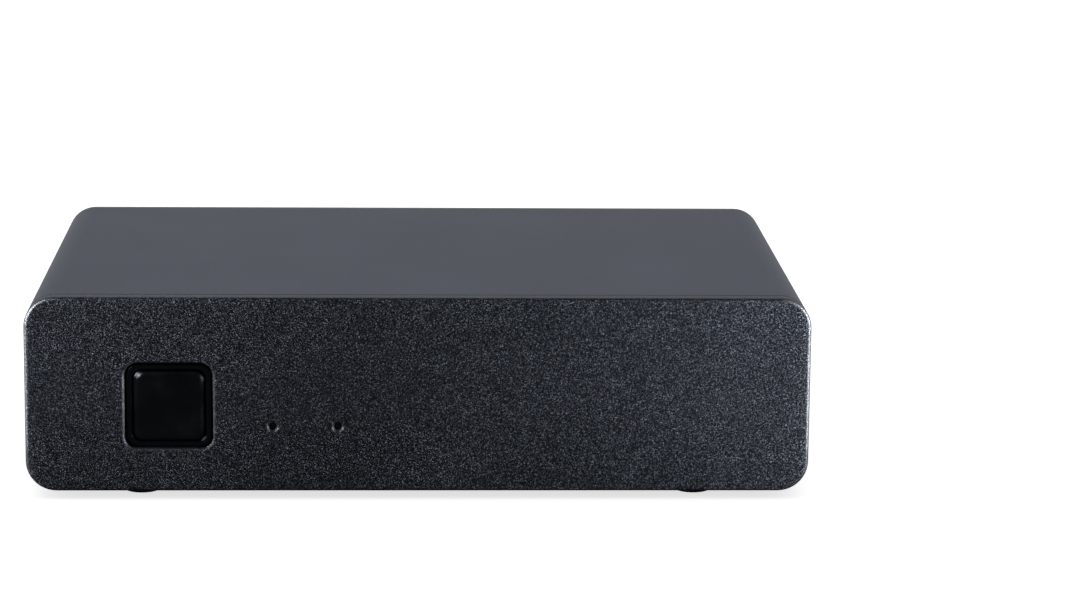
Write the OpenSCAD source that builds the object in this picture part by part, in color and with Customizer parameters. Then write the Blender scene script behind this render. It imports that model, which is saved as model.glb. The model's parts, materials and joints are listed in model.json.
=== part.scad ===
// Media player with a removable tray for a 3.5 inch hard drive.
// Millimetres. X runs to the right seen from the front, Y to the back, Z up.
// The origin is the middle of the whole footprint, on the surface that the feet stand on.

/* [Case] */
// Width of the case
case_w = 270; // [262:1:320]
// Depth of the case, from the front face to the rear panel's outer face
case_d = 180; // [178:1:220]
// Height of the case without its feet
case_h = 68; // [66:1:90]
// Radius of the four long edges
case_corner = 10.5; // [9:0.5:12]
// Wall of the extruded sleeve
sleeve_wall = 2.5; // [2:0.1:3.2]
// Radius of the screw bosses that run along the sleeve
boss_r = 4.2; // [3.8:0.1:4.6]
// Slit that opens each screw boss to the inside
boss_slit = 1.2; // [0.8:0.1:1.6]
// Thickness of the front panel
front_t = 6; // [5:0.5:8]
// Rounding of the front panel's outer edge
front_round = 0.9; // [0.3:0.1:1.5]
// Width and depth of the shadow groove between the front panel and the sleeve
seam = 0.5; // [0.3:0.1:0.8]
// Thickness of the rear panel
rear_t = 2; // [1.5:0.1:2.5]

/* [Feet] */
// Height of each rubber foot
foot_h = 3; // [2.6:0.1:6]
// Diameter of a foot where it meets the case
foot_d = 14; // [12:0.5:20]
// How much smaller the foot's radius is at the ground
foot_taper = 1; // [0.5:0.1:1.5]
// Distance of the feet from the case's sides
foot_side = 39; // [30:1:45]
// Distance of the front feet from the front face
foot_front = 15.5; // [14:0.5:18]
// Distance of the rear feet from the rear face
foot_rear = 19; // [17:0.5:24]

/* [Screws] */
// Diameter of the case, board and thumb screws' threads
screw_d = 3; // [2.5:0.1:3.2]
// Diameter of the pan heads
head_d = 5.6; // [5.2:0.1:6]
// Height of the pan heads
head_h = 1.7; // [1.4:0.1:2]
// Arm width of the cross recess in the heads
recess_w = 0.9; // [0.6:0.1:1.1]
// Thread length of the case screws beyond the rear panel
case_screw_l = 9; // [7:0.5:14]
// Radial clearance between a thread and the hole that it is screwed into
thread_gap = 0.05; // [0.03:0.01:0.1]
// Radial clearance of a screw in a plain hole
hole_gap = 0.2; // [0.15:0.05:0.4]

/* [Power button] */
// Distance of the button's centre from the case's left side
button_left = 49.2; // [46:0.1:60]
// Height of the button's centre over the case's bottom
button_up = 29.9; // [29:0.1:38]
// Width of the square window in the front panel
window_w = 30.3; // [29:0.1:32]
// Corner radius of the window
window_corner = 4.6; // [3:0.1:5.5]
// Bevel round the window
window_bevel = 0.5; // [0.3:0.1:0.8]
// Width of the square button
button_w = 24.5; // [23:0.1:25.5]
// Corner radius of the button
button_corner = 3; // [2:0.1:3.8]
// Rounding of the button's face towards its sides
button_round = 1.4; // [0.5:0.1:1.8]
// How far the button's face lies behind the front face
button_recess = 0.8; // [0.4:0.1:1.5]
// How far the ring round the button lies behind the front face
bezel_recess = 1.7; // [1.2:0.1:2.5]
// Rounding of the ring's outer edge
bezel_round = 1; // [0.4:0.1:1.2]
// Running gap between the button and its ring
button_gap = 0.3; // [0.25:0.05:0.5]
// Gap between the ring and the window's edge
bezel_gap = 0.1; // [0.05:0.05:0.2]
// How far the ring's rear flange reaches past the window
bezel_flange = 3.8; // [3:0.1:4]
// Thickness of that flange
bezel_flange_t = 1.5; // [1.2:0.1:1.8]
// Wall of the hollow button cap
cap_wall = 1.5; // [1.2:0.1:2]
// How far the button's lip reaches behind the ring
lip_w = 1.5; // [1:0.1:1.8]
// Thickness of the lip
lip_t = 1.2; // [1:0.1:1.5]
// Travel of the button
button_travel = 0.6; // [0.4:0.05:0.8]
// Width of the tact switch's square body
tact_w = 6; // [5.5:0.1:7]
// Height of the tact switch's body over its board
tact_h = 3.6; // [3.2:0.1:4]
// Diameter of the tact switch's plunger
plunger_d = 3.5; // [3:0.1:4]
// How far the plunger stands out of the switch's body
plunger_out = 0.9; // [0.85:0.05:1.2]
// How much of the plunger is inside the switch's body
plunger_in = 2; // [1.6:0.1:2.2]
// Radial running clearance of the plunger
plunger_gap = 0.08; // [0.05:0.01:0.1]

/* [Indicators] */
// Distance of the first indicator from the button's centre
led_first = 35.6; // [34:0.1:40]
// Distance between the two indicators
led_pitch = 22.4; // [15:0.1:28]
// Height of the indicators over the case's bottom
led_up = 22.8; // [22:0.1:30]
// Diameter of the hole behind the countersink
led_hole_d = 2.75; // [2.5:0.05:3]
// Diameter of the countersink's mouth
led_sink_d = 4; // [3.6:0.1:4.4]
// Depth of the countersink
led_sink_t = 0.65; // [0.5:0.05:0.9]
// Radial clearance of the light pipe in its hole
pipe_gap = 0.08; // [0.05:0.01:0.1]
// Collar of the light pipe, its radius beyond the hole's
pipe_collar = 1.2; // [0.8:0.1:1.5]
// Diameter of the LED bodies
led_d = 3; // [2.8:0.1:3.2]
// Width of the infra-red receiver
eye_w = 5; // [4.5:0.1:5.6]

/* [Front board] */
// Distance of the front board from the front panel's back
front_board_off = 10; // [9.6:0.1:12]
// Reach of the board's left edge past the button's centre
front_board_left = 28; // [27:0.5:32]
// Reach of the board's right edge past the last indicator
front_board_right = 14; // [10:0.5:20]
// Reach of the board below and above the button's centre
front_board_up = 16; // [15.5:0.1:18]
// Inset of its screws from its edges
front_board_inset = 4; // [3.6:0.1:5]
// Radius of the bosses behind the front panel
front_boss_r = 3; // [2.8:0.1:3.2]

/* [Chassis and main board] */
// Thickness of the chassis sheet
chassis_t = 1.2; // [0.8:0.1:1.6]
// Gap between the chassis and the sleeve's bosses
chassis_gap = 1.5; // [0.5:0.1:3]
// Height of the chassis's turned-up side edges
chassis_rim = 4.5; // [3:0.1:5.5]
// Distance of the chassis tabs from the front panel's back
tab_off = 2; // [1.6:0.1:3]
// Width of the front tabs
tab_w = 15; // [12:0.5:18]
// Height of the tabs over the chassis
tab_h = 11; // [10:0.5:12]
// Height of the stand-offs under the main board
standoff_h = 4.6; // [4.4:0.1:7]
// Radius of the stand-offs
standoff_r = 3; // [2.6:0.1:3.4]
// Thickness of every circuit board
board_t = 1.6; // [1.2:0.1:2]
// Gap between the main board's sides and the chassis's rims
board_side = 1.2; // [0.8:0.1:3]
// Distance of the main board's front edge from the front face
board_front = 14; // [13.5:0.5:15]
// Gap between the main board and the rear panel
board_rear = 0.6; // [0.4:0.1:1]
// Inset of the main board's screws from its left edge
hole_left = 6; // [5:0.5:8]
// Distance of the front row of board screws from the board's front edge
hole_front = 6; // [5:0.5:10]
// Distance of the rear row of board screws from the rear face
hole_rear = 33; // [30:0.5:36]
// Distance of the middle board screws from the drive cage
hole_mid = 12; // [10:0.5:16]

/* [Main board's parts] */
// Width of the processor's package
chip_w = 27; // [23:1:35]
// Height of the processor's package
chip_h = 2; // [1.6:0.1:2.6]
// Distance of the processor from the board's left edge
chip_left = 58; // [52:1:66]
// Distance of the processor from the board's front edge
chip_front = 72; // [60:1:80]
// Thickness of the thermal pad
pad_t = 0.5; // [0.3:0.1:1]
// Width of the heat sink
sink_w = 45; // [40:1:50]
// Thickness of the heat sink's base
sink_base = 3.5; // [3:0.1:5]
// Height of its fins
fin_h = 15; // [10:0.5:20]
// Thickness of a fin
fin_t = 1.3; // [1:0.1:1.8]
// Number of fins
fin_n = 9; // [6:1:11]
// Radius of the capacitors
can_r = 4; // [3:0.1:4.5]
// Height of the capacitors
can_h = 11.5; // [8:0.5:16]
// Number of capacitors
can_n = 5; // [3:1:6]
// Width of the power coils
coil_w = 10; // [8:0.5:12]
// Height of the power coils
coil_h = 4.5; // [3:0.1:6]
// Diameter of the coin cell
cell_d = 20; // [16:0.5:20]
// Thickness of the coin cell
cell_t = 3.2; // [2:0.1:3.2]

/* [Rear sockets] */
// Distance of the power jack's centre from the case's left side
jack_left = 21; // [19.5:0.5:24]
// Gap between neighbouring sockets
socket_gap = 4; // [3:0.1:5]
// Clearance round each socket in the rear panel
cutout_gap = 0.3; // [0.2:0.05:0.5]
// How far the sockets' faces stand out of the rear panel
socket_out = 0.6; // [0.3:0.1:1]
// Width of the power jack
jack_w = 9.5; // [9:0.1:11]
// Height of the power jack
jack_h = 11; // [10.5:0.1:12]
// Diameter of the power jack's bore
jack_bore_d = 6.3; // [5.8:0.1:6.6]
// Diameter of the power jack's pin
jack_pin_d = 2.1; // [1.9:0.1:2.5]
// Width of the rocker switch's body
rocker_body_w = 12.9; // [12.5:0.1:14]
// Height of the rocker switch's body
rocker_body_h = 19.3; // [19:0.1:21]
// Reach of the rocker switch's flange past its body
rocker_flange = 1.3; // [1:0.1:1.6]
// Thickness of that flange
rocker_flange_t = 1.6; // [1.2:0.1:2]
// Width of the rocker
rocker_w = 9.2; // [8.6:0.1:9.6]
// Half of the rocker's length
rocker_half = 7.2; // [6.8:0.1:7.4]
// Tilt of the rocker to either side
rocker_tilt = 10; // [7:0.5:11]
// Diameter of the phono sockets' shells
phono_d = 8.3; // [8.1:0.1:8.5]
// Diameter of the hole that takes the phono plug's pin
phono_bore_d = 3.4; // [3.3:0.05:3.6]
// How far the phono shells stand out of the rear panel
phono_out = 9; // [8.5:0.1:10]
// Distance between the three phono sockets
phono_pitch = 14; // [13.5:0.1:15]
// Height of the phono block
phono_h = 12; // [11.5:0.1:13]
// Width of the digital video socket
hdmi_w = 15; // [14.8:0.1:15.6]
// Height of the digital video socket
hdmi_h = 5.8; // [5.6:0.1:6.2]
// Width of the network socket
lan_w = 16; // [15.6:0.1:17]
// Height of the network socket
lan_h = 13.4; // [13:0.1:14]
// Depth of the network socket
lan_d = 21; // [18:0.5:22]
// Width of the double USB socket
usb_w = 14.5; // [14.2:0.1:15]
// Height of the double USB socket
usb_h = 15.6; // [15.2:0.1:16]
// Depth of the double USB socket
usb_d = 17.5; // [15:0.5:18]

/* [Vents] */
// Width of each vent slot in the rear panel
vent_w = 3; // [2:0.1:3.5]
// Height of the vent slots
vent_h = 19; // [12:1:22]
// Distance between vent slots
vent_pitch = 6.4; // [5:0.1:9]
// Distance of the vent slots' tops from the case's top
vent_top = 9; // [8:0.5:12]

/* [Drive bay] */
// Width of the drive
drive_w = 101.6; // [100:0.1:102]
// Length of the drive
drive_l = 147; // [145:0.1:147]
// Height of the drive
drive_h = 26.1; // [25:0.1:26.2]
// Gap between the drive and each side of its tray
drive_gap = 0.4; // [0.2:0.1:0.6]
// Distance across between the drive's bottom screw holes
hole_pitch_x = 95.25; // [94:0.05:96]
// Distance along between the drive's bottom screw holes
hole_pitch_y = 44.45; // [44:0.05:76.2]
// Distance of the first bottom hole from the drive's connector end
hole_first = 41.28; // [40:0.02:42]
// Diameter of the drive's screw holes in the tray
drive_hole_d = 3.8; // [3.6:0.1:4.2]
// Thickness of the tray's sheet
tray_t = 1.2; // [1:0.1:1.5]
// Height of the tray's side walls
tray_side_h = 20; // [12:1:24]
// Gap between the tray and each side of the cage
slide_gap = 0.4; // [0.3:0.05:0.6]
// Gap between the tray and the cage's rails
rail_gap = 0.2; // [0.1:0.05:0.4]
// Height of the cage's rails
rail_h = 2; // [1.8:0.1:3]
// Width of the cage's rails
rail_w = 6; // [4:0.5:8]
// Distance of each rail from the bay's middle
rail_x = 30; // [26:1:34]
// Thickness of the cage's sheet
cage_t = 1; // [0.8:0.1:1.4]
// Room over the drive, under the cage's top edges
drive_headroom = 0.8; // [0.6:0.1:2]
// Width of the cage's turned-in top edges
cage_top_w = 9; // [6:0.5:14]
// Gap between the double USB socket and the cage over it
cage_over_usb = 0.8; // [0.6:0.1:4]
// Width of the hexagonal spacers across their corners
spacer_d = 6; // [5.6:0.1:7]
// Distance of the spacers from the bay's middle
spacer_x = 44; // [42:0.5:47]
// Distance of the front spacers from the cage's front
spacer_front = 14; // [12:0.5:20]
// Gap between the cage and the sleeve's right wall
bay_side = 20; // [19.5:0.5:24]
// Height of the drive connector's centre over the drive's bottom
plug_up = 4.4; // [4:0.1:5]
// Gap between the drive's rear end and the tray's rear wall
drive_end_gap = 0.6; // [0.4:0.1:1.5]
// Gap between the drive's connector end and the cage's front wall
drive_front_gap = 0.8; // [0.6:0.1:2]
// How far the tray's front edge stays behind the drive's connector end
tray_setback = 2; // [0:0.5:4]
// How far the drive's socket reaches into the drive
plug_in = 3.5; // [3:0.1:4]
// Width of the drive's socket
plug_w = 44; // [42:0.5:46]
// Height of the drive's socket
plug_h = 5.8; // [5.4:0.1:6]

/* [Tray face] */
// Thickness of the moulded tray face
face_t = 7; // [6.5:0.1:9]
// Thickness of its front wall
face_skin = 2.5; // [2:0.1:3]
// Thickness of its rim
face_rim = 2; // [1.5:0.1:3]
// Reach of the face past the tray's sides, where the thumbscrews sit
ear_w = 12.6; // [12:0.1:14]
// Reach of the face above and below the bay's mouth
face_over = 3; // [2.5:0.1:3.5]
// Corner radius of the face
face_corner = 4; // [3:0.5:6]
// Rounding of the face's edge
face_round = 0.8; // [0.4:0.1:1.2]
// Gap between the face and the rear panel
face_gap = 0.2; // [0.1:0.05:0.3]
// Width of the face's vent slots
face_slot_w = 12; // [8:0.5:14]
// Height of the face's vent slots
face_slot_h = 2.4; // [2:0.1:3]
// Number of vent slots across the face
face_slot_n = 5; // [3:1:5]

/* [Thumbscrews] */
// Diameter of the knurled head
knob_d = 10; // [9:0.1:11]
// Length of the knurled head
knob_l = 8; // [6:0.5:10]
// Bevel of the head's outer edge
knob_bevel = 0.8; // [0.5:0.1:1.2]
// Number of knurl grooves
knurl_n = 28; // [18:1:36]
// Radius of each knurl groove
knurl_r = 0.35; // [0.25:0.05:0.4]
// Distance of each thumbscrew from the tray's side
thumb_out = 7; // [6.5:0.1:7.4]
// How far a screw backs out until it is free
thumb_travel = 3.5; // [3:0.1:3.5]
// Gap between a head and the tray face
head_gap = 0.1; // [0.1:0.05:0.2]
// Length of the nuts pressed into the cage
nut_l = 3; // [2.5:0.1:3.5]
// Radius of the nuts
nut_r = 3.6; // [3.2:0.1:4]
// Radial clearance of a thumbscrew in its nut
nut_gap = 0.08; // [0.05:0.01:0.1]
// Radius of the neck that carries the retaining clip
neck_r = 1.2; // [1.1:0.05:1.25]
// Outer radius of the retaining clip
clip_r = 3.2; // [2.8:0.1:3.4]
// Thickness of the retaining clip
clip_t = 0.6; // [0.5:0.1:0.7]
// Clearance of the clip in its groove, on each side
clip_gap = 0.08; // [0.05:0.01:0.1]

/* [Hidden] */

$fn = 48;
cut = 1;                       // how far a cut runs past the surface that it opens
overlap = 0.1;                 // of two shapes that are joined into one piece
screw_r = screw_d / 2;
tapped_r = screw_r + thread_gap;
clear_r = screw_r + hole_gap;

// Overall depth: the case, the tray's face and the thumbscrews' heads
overall_d = case_d + face_gap + face_t + head_gap + knob_l;
front_y = -overall_d / 2;
panel_y = front_y + front_t;            // back of the front panel
rear_y = front_y + case_d;              // outer face of the rear panel
sleeve_y = rear_y - rear_t;             // rear end of the sleeve
base_z = foot_h;
top_z = foot_h + case_h;
mid_z = foot_h + case_h / 2;
floor_z = base_z + sleeve_wall;
left_x = -case_w / 2;
right_x = case_w / 2;

// Screw bosses of the sleeve: three up each side
boss_sink = 0.5;                        // how deep a boss is set into the wall
boss_inset = sleeve_wall + boss_r - boss_sink;
boss_points = [for (side = [-1, 1], z = [base_z + boss_inset, mid_z, top_z - boss_inset])
    [side * (right_x - boss_inset), z]];

// Feet: front left, front right, rear left, rear right
foot_x = right_x - foot_side;
foot_front_y = front_y + foot_front;
foot_rear_y = rear_y - foot_rear;
foot_points = [[-foot_x, foot_front_y], [foot_x, foot_front_y],
    [-foot_x, foot_rear_y], [foot_x, foot_rear_y]];
foot_pocket_gap = 0.4;                  // round the screw head in a foot
foot_head_lift = 0.5;                   // of the screw head over the ground
foot_nut_l = 3.5;

// Button and indicators
button_x = left_x + button_left;
button_z = base_z + button_up;
led_x = [button_x + led_first, button_x + led_first + led_pitch];
led_z = base_z + led_up;
led_near = 4;                           // of the LEDs' tips behind the front panel's back
lip_y = panel_y + bezel_flange_t + 0.2; // front of the button's lip
front_board_y = panel_y + front_board_off;
tact_y = front_board_y - tact_h;
stem_y = tact_y - plunger_out;          // where the button's stem meets the plunger
stem_wall = 0.6;                        // of the stem beyond the plunger
cap_face = 2;                           // thickness of the cap's face
cap_rib = 1.2;
front_hole_in = 2;                      // of the board's screw holes in the front panel
front_screw_in = 6;                     // of the board's screws in their bosses
front_board_x0 = button_x - front_board_left;
front_board_x1 = led_x[1] + front_board_right;
front_board_z0 = button_z - front_board_up;
front_board_z1 = button_z + front_board_up;
front_board_points = [for (x = [front_board_x0 + front_board_inset, front_board_x1 - front_board_inset],
    z = [front_board_z0 + front_board_inset, front_board_z1 - front_board_inset]) [x, z]];

// Chassis and main board
chassis_z = floor_z + chassis_t;
chassis_x = right_x - boss_inset - boss_r - chassis_gap;
tab_y = panel_y + tab_off;
tab_screw_down = 4.5;                   // of a tab's screw from its top edge
tab_screw_in = 2;                       // of that screw in the front panel
tab_screw_z = chassis_z + tab_h - tab_screw_down;
tab_left_x = button_x + window_w / 2 + bezel_flange + front_boss_r + 2;
tab_right_x = chassis_x - tab_w / 2 - 4;
tab_points = [tab_left_x, 0, tab_right_x];
board_z = chassis_z + standoff_h;
board_top = board_z + board_t;
board_x = chassis_x - chassis_t - board_side;
board_y0 = front_y + board_front;
board_y1 = sleeve_y - board_rear;
bend_r = 1.4;                           // outer radius of the sheet bends
rim_start = 12;                         // of the chassis's rims behind its tabs
rim_cut = 4;

// Drive bay, from the main board up
spacer_h = usb_h + cage_over_usb;
cage_z = board_top + spacer_h;
cage_floor = cage_z + cage_t;
tray_z = cage_floor + rail_h + rail_gap;
drive_z = tray_z + tray_t;
drive_top = drive_z + drive_h;
cage_ceiling = drive_top + drive_headroom;
tray_half = drive_w / 2 + drive_gap + tray_t;
mouth_half = tray_half + slide_gap;
cage_half = mouth_half + cage_t;
bay_x = right_x - sleeve_wall - bay_side - cage_half;
face_half = tray_half + ear_w;
ear_margin = 1;                         // of the cage's ears inside the face's sides
thumb_x = [bay_x - tray_half - thumb_out, bay_x + tray_half + thumb_out];
thumb_z = (tray_z + drive_top) / 2;

// Along the bay, from the rear panel forwards
tray_end_y = rear_y;                    // back of the tray's rear wall
drive_y1 = tray_end_y - tray_t - drive_end_gap;
drive_y0 = drive_y1 - drive_l;          // the drive's connector end
tray_y0 = drive_y0 + tray_setback;
cage_y0 = drive_y0 - drive_front_gap - cage_t;
drive_board_y = cage_y0 - board_t;      // front of the drive's connector board
plug_z = drive_z + plug_up;
drive_board_margin = 8;                 // of the board beside the drive's socket
drive_board_half = plug_w / 2 + drive_board_margin;
drive_board_rise = 22;                  // of the board above the drive's underside
drive_board_drop = 9;                   // of its foot below the cage, where its cable leaves
drive_board_top = drive_z + drive_board_rise;
drive_board_foot = cage_z - drive_board_drop;
drive_screw_x = [for (side = [-1, 1]) bay_x + side * (plug_w / 2 + drive_board_margin / 2)];
drive_screw_in = 4;
drive_screw_z = drive_board_top - drive_screw_in;
cage_front_top = drive_board_top + 2;
window_pitch = 44;                      // of the openings in the floors of cage and tray
opening_w = 2 * rail_x - rail_w - 6;    // of the same, between the rails
hole_y = [drive_y0 + hole_first, drive_y0 + hole_first + hole_pitch_y];
spacer_hole = 6;                        // depth of the thread in each end of a spacer
spacer_points = [for (side = [-1, 1], y = [cage_y0 + spacer_front, rear_y - hole_rear])
    [bay_x + side * spacer_x, y]];
rail_inset = 6;                         // of the rails from the cage's ends
peg_r = 1.4;                            // of the pegs under the rails
peg_y = [cage_y0 + 3 * rail_inset, (cage_y0 + sleeve_y) / 2, sleeve_y - 3 * rail_inset];
peg_points = [for (side = [-1, 1], y = peg_y) [bay_x + side * rail_x, y]];
face_y = rear_y + face_gap;
skin_y = face_y + face_t - face_skin;
knob_y = face_y + face_t + head_gap;
nut_y = sleeve_y - cage_t - nut_l;
nut_shank_r = nut_r - 0.65;             // where a nut is pressed into the cage
clip_y = skin_y - thumb_travel - clip_t - 0.1;
groove_t = clip_t + 2 * clip_gap;

// Main board screws: two at the left, two beside the cage
hole_mid_x = bay_x - cage_half - hole_mid;
board_points = [for (x = [-board_x + hole_left, hole_mid_x],
    y = [board_y0 + hole_front, rear_y - hole_rear]) [x, y]];

// Rear sockets, laid out from the left side with one gap between them
function flange_half() = rocker_body_w / 2 + rocker_flange;
phono_wall = 2.5;                       // of the phono block beside its shell
phono_half = phono_d / 2 + phono_wall;
phono_behind = 1;                       // of the phono block behind the rear panel
phono_collar = 0.5;                     // the insulator's collar round the shell, in the panel's hole
jack_x = left_x + jack_left;
rocker_x = jack_x + jack_w / 2 + socket_gap + flange_half();
coax_x = rocker_x + flange_half() + socket_gap + phono_half;
av_x = coax_x + 2 * phono_half + socket_gap + phono_pitch;
av_points = [for (i = [-1, 0, 1]) av_x + i * phono_pitch];
hdmi_x = av_x + phono_pitch + phono_half + socket_gap + hdmi_w / 2;
lan_x = hdmi_x + hdmi_w / 2 + socket_gap + lan_w / 2;
usb_x = lan_x + lan_w / 2 + socket_gap + usb_w / 2;
socket_y = rear_y + socket_out;         // plane of the sockets' faces
phono_z = board_top + phono_h / 2 + 0.5;
jack_z = board_top + jack_h / 2 + 0.8;
jack_l = 14;
jack_bore_l = 9.5;
jack_pin_in = 0.8;                      // of the pin's tip behind the jack's face
rocker_z = board_top + 3 + rocker_body_h / 2;
pivot_y = rear_y - 3;                   // the rocker's axis
pivot_r = 1.2;
pivot_gap = 0.06;
rocker_back = 3;                        // of the rocker behind its axis
rocker_gap = 0.15;                      // of the switch's body in the rear panel
rocker_depth = 13;                      // of the switch behind the rear panel
rocker_tab_l = 5;
rocker_tab_pitch = 6;
stub_l = 0.8;                           // of the rocker's stub pins
rocker_floor = pivot_y - sqrt(2) * rocker_back - 0.5;
vent_z = top_z - vent_top - vent_h / 2;
vent_x0 = left_x + jack_left - 4;
vent_x1 = bay_x - face_half - 6;
vent_n = floor((vent_x1 - vent_x0) / vent_pitch);

// Processor and heat sink
chip_x = -board_x + chip_left;
chip_y = board_y0 + chip_front;
pad_z = board_top + chip_h;
sink_z = pad_z + pad_t;
pin_inset = 3.5;                        // of the heat sink's two pins from its corners
pin_off = sink_w / 2 - pin_inset;
pin_r = 1.3;
pin_points = [for (side = [-1, 1]) [chip_x + side * pin_off, chip_y + side * pin_off]];
lid_inset = 1.5;                        // of the processor's lid on its carrier
chip_slot_w = 3;                        // cooling slots under the processor
chip_slot_pitch = 9;
memory_w = 8;
memory_l = 12;
memory_gap = 5;
can_gap = 2.5;
can_x = chip_x - 26;                    // first capacitor
can_y = rear_y - hole_rear + 2;
coil_x = -board_x + 12;
coil_gap = 5;
cell_x = -board_x + 22;
cell_y = board_y0 + 24;
cell_lift = 0.6;                        // of the cell over the board
holder_wall = 1.6;
holder_r = cell_d / 2 + holder_wall;
fin_pitch = (sink_w - fin_t) / (fin_n - 1);

anodised = [0.25, 0.27, 0.3];
gloss_black = [0.04, 0.04, 0.05];
steel = [0.72, 0.73, 0.75];
board_green = [0.05, 0.3, 0.16];
black_plastic = [0.1, 0.1, 0.11];

// ---------- shapes ----------

// A rectangle with round corners, centred
module rounded(w, h, r) {
    square([w - 2 * r, h], center = true);
    square([w, h - 2 * r], center = true);
    for (x = [-1, 1], z = [-1, 1]) translate([x * (w / 2 - r), z * (h / 2 - r)]) circle(r);
}

// A slot with round ends, centred, longer along its second size
module slot(w, h) {
    square([w, h - w], center = true);
    for (z = [-1, 1]) translate([0, z * (h - w) / 2]) circle(w / 2);
}

// Extrudes an outline drawn in X and Z from y0 to y1
module upright(y0, y1) {
    translate([0, y1, 0]) rotate([90, 0, 0]) linear_extrude(y1 - y0) children();
}

// Extrudes an outline drawn in Y and Z from x0 to x1
module across(x0, x1) {
    translate([x0, 0, 0]) rotate([90, 0, 90]) linear_extrude(x1 - x0) children();
}

// Extrudes an outline drawn in X and Y from z0 to z1
module flat(z0, z1) {
    translate([0, 0, z0]) linear_extrude(z1 - z0) children();
}

module block(low, high) {
    translate(low) cube(high - low);
}

module round_y(x, z, y0, y1, r) {
    upright(y0, y1) translate([x, z]) circle(r);
}

module round_z(x, y, z0, z1, r) {
    translate([x, y, z0]) cylinder(h = z1 - z0, r = r);
}

// Half of a slab's section, from its middle to its side, with the upper edge rounded by b
module half_section(half, t, b) {
    square([half, t - b]);
    square([half - b, t]);
    translate([half - b, t - b]) intersection() {
        circle(b);
        square(b);
    }
}

// A slab with round corners and the edge of its upper face rounded by b; it lies on z = 0
module soft_slab(w, h, r, t, b) {
    across(r - w / 2, w / 2 - r) for (side = [0, 1]) mirror([side, 0]) half_section(h / 2, t, b);
    upright(r - h / 2, h / 2 - r) for (side = [0, 1]) mirror([side, 0]) half_section(w / 2, t, b);
    for (x = [-1, 1], y = [-1, 1]) translate([x * (w / 2 - r), y * (h / 2 - r), 0])
        rotate_extrude() half_section(r, t, b);
}

// The space that cuts a window with round corners and a bevelled mouth through a slab
module bevelled_cut(w, r, t, b) {
    half = w / 2;
    straight = [[-half, -cut], [half, -cut], [half, t - b], [half + b, t], [half + b, t + cut],
        [-half - b, t + cut], [-half - b, t], [-half, t - b]];
    across(r - half, half - r) polygon(straight);
    upright(r - half, half - r) polygon(straight);
    for (x = [-1, 1], y = [-1, 1]) translate([x * (half - r), y * (half - r), 0])
        rotate_extrude() polygon([[0, -cut], [r, -cut], [r, t - b], [r + b, t], [r + b, t + cut],
            [0, t + cut]]);
}

// Stands a slab up, with its rounded face to the front
module face_front(x, y, z) {
    translate([x, y, z]) rotate([90, 0, 0]) children();
}

// Stands a slab up, with its rounded face to the back
module face_back(x, y, z) {
    translate([x, y, z]) rotate([-90, 0, 0]) children();
}

// A pan-head screw along +Z: its head above z = 0, its thread of length l below
module screw(l) {
    difference() {
        rotate_extrude() polygon([[0, -l], [screw_r - 0.3, -l], [screw_r, 0.3 - l], [screw_r, 0],
            [head_d / 2, 0], [head_d / 2, head_h * 0.6], [head_d / 2 - head_h * 0.4, head_h], [0, head_h]]);
        for (a = [0, 90]) rotate(a) block([-head_d * 0.32, -recess_w / 2, head_h * 0.4],
            [head_d * 0.32, recess_w / 2, head_h + cut]);
    }
}

// The 2D section of a sheet bent up at both sides, w wide and h high, standing on z = 0
module bent_section(w, h, t, r) {
    difference() {
        union() {
            translate([-w / 2, r]) square([w, h - r]);
            translate([r - w / 2, 0]) square([w - 2 * r, h]);
            for (x = [-1, 1]) translate([x * (w / 2 - r), r]) circle(r);
        }
        translate([t - w / 2, r]) square([w - 2 * t, h]);
        translate([r - w / 2, t]) square([w - 2 * r, h]);
        for (x = [-1, 1]) translate([x * (w / 2 - r), r]) circle(r - t);
    }
}

// ---------- case ----------

module case_outline(inset = 0) {
    translate([0, mid_z]) rounded(case_w - 2 * inset, case_h - 2 * inset, case_corner - inset);
}

module sleeve() {
    color(anodised) difference() {
        upright(panel_y, sleeve_y) difference() {
            case_outline();
            difference() {
                case_outline(sleeve_wall);
                for (p = boss_points) translate(p) circle(boss_r);
            }
            for (p = boss_points) translate(p) {
                circle(tapped_r);
                translate([p.x > 0 ? -boss_r - cut : 0, -boss_slit / 2]) square([boss_r + cut, boss_slit]);
            }
        }
        for (p = foot_points) round_z(p.x, p.y, base_z - cut, floor_z + cut, clear_r);
    }
}

module front_panel() {
    sink_slope = (led_sink_d - led_hole_d) / 2 / led_sink_t;
    color(anodised) difference() {
        union() {
            face_front(0, panel_y - seam, mid_z)
                soft_slab(case_w, case_h, case_corner, front_t - seam, front_round);
            upright(panel_y - seam, panel_y) case_outline(seam);
            for (p = front_board_points) round_y(p.x, p.y, panel_y, front_board_y, front_boss_r);
            for (x = tab_points) round_y(x, tab_screw_z, panel_y, tab_y, front_boss_r);
        }
        face_front(button_x, panel_y, button_z)
            bevelled_cut(window_w, window_corner, front_t, window_bevel);
        for (x = led_x) {
            round_y(x, led_z, front_y - cut, panel_y + cut, led_hole_d / 2);
            face_back(x, front_y - cut, led_z)
                cylinder(h = led_sink_t + cut, r1 = led_sink_d / 2 + cut * sink_slope, r2 = led_hole_d / 2);
        }
        for (p = front_board_points)
            round_y(p.x, p.y, panel_y - front_hole_in, front_board_y + cut, tapped_r);
        for (x = tab_points)
            round_y(x, tab_screw_z, panel_y - tab_screw_in - cut, tab_y + cut, tapped_r);
    }
}

module socket_window(x, z0, w, h) {
    translate([x, z0 + h / 2]) square([w + 2 * cutout_gap, h + 2 * cutout_gap], center = true);
}

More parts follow.
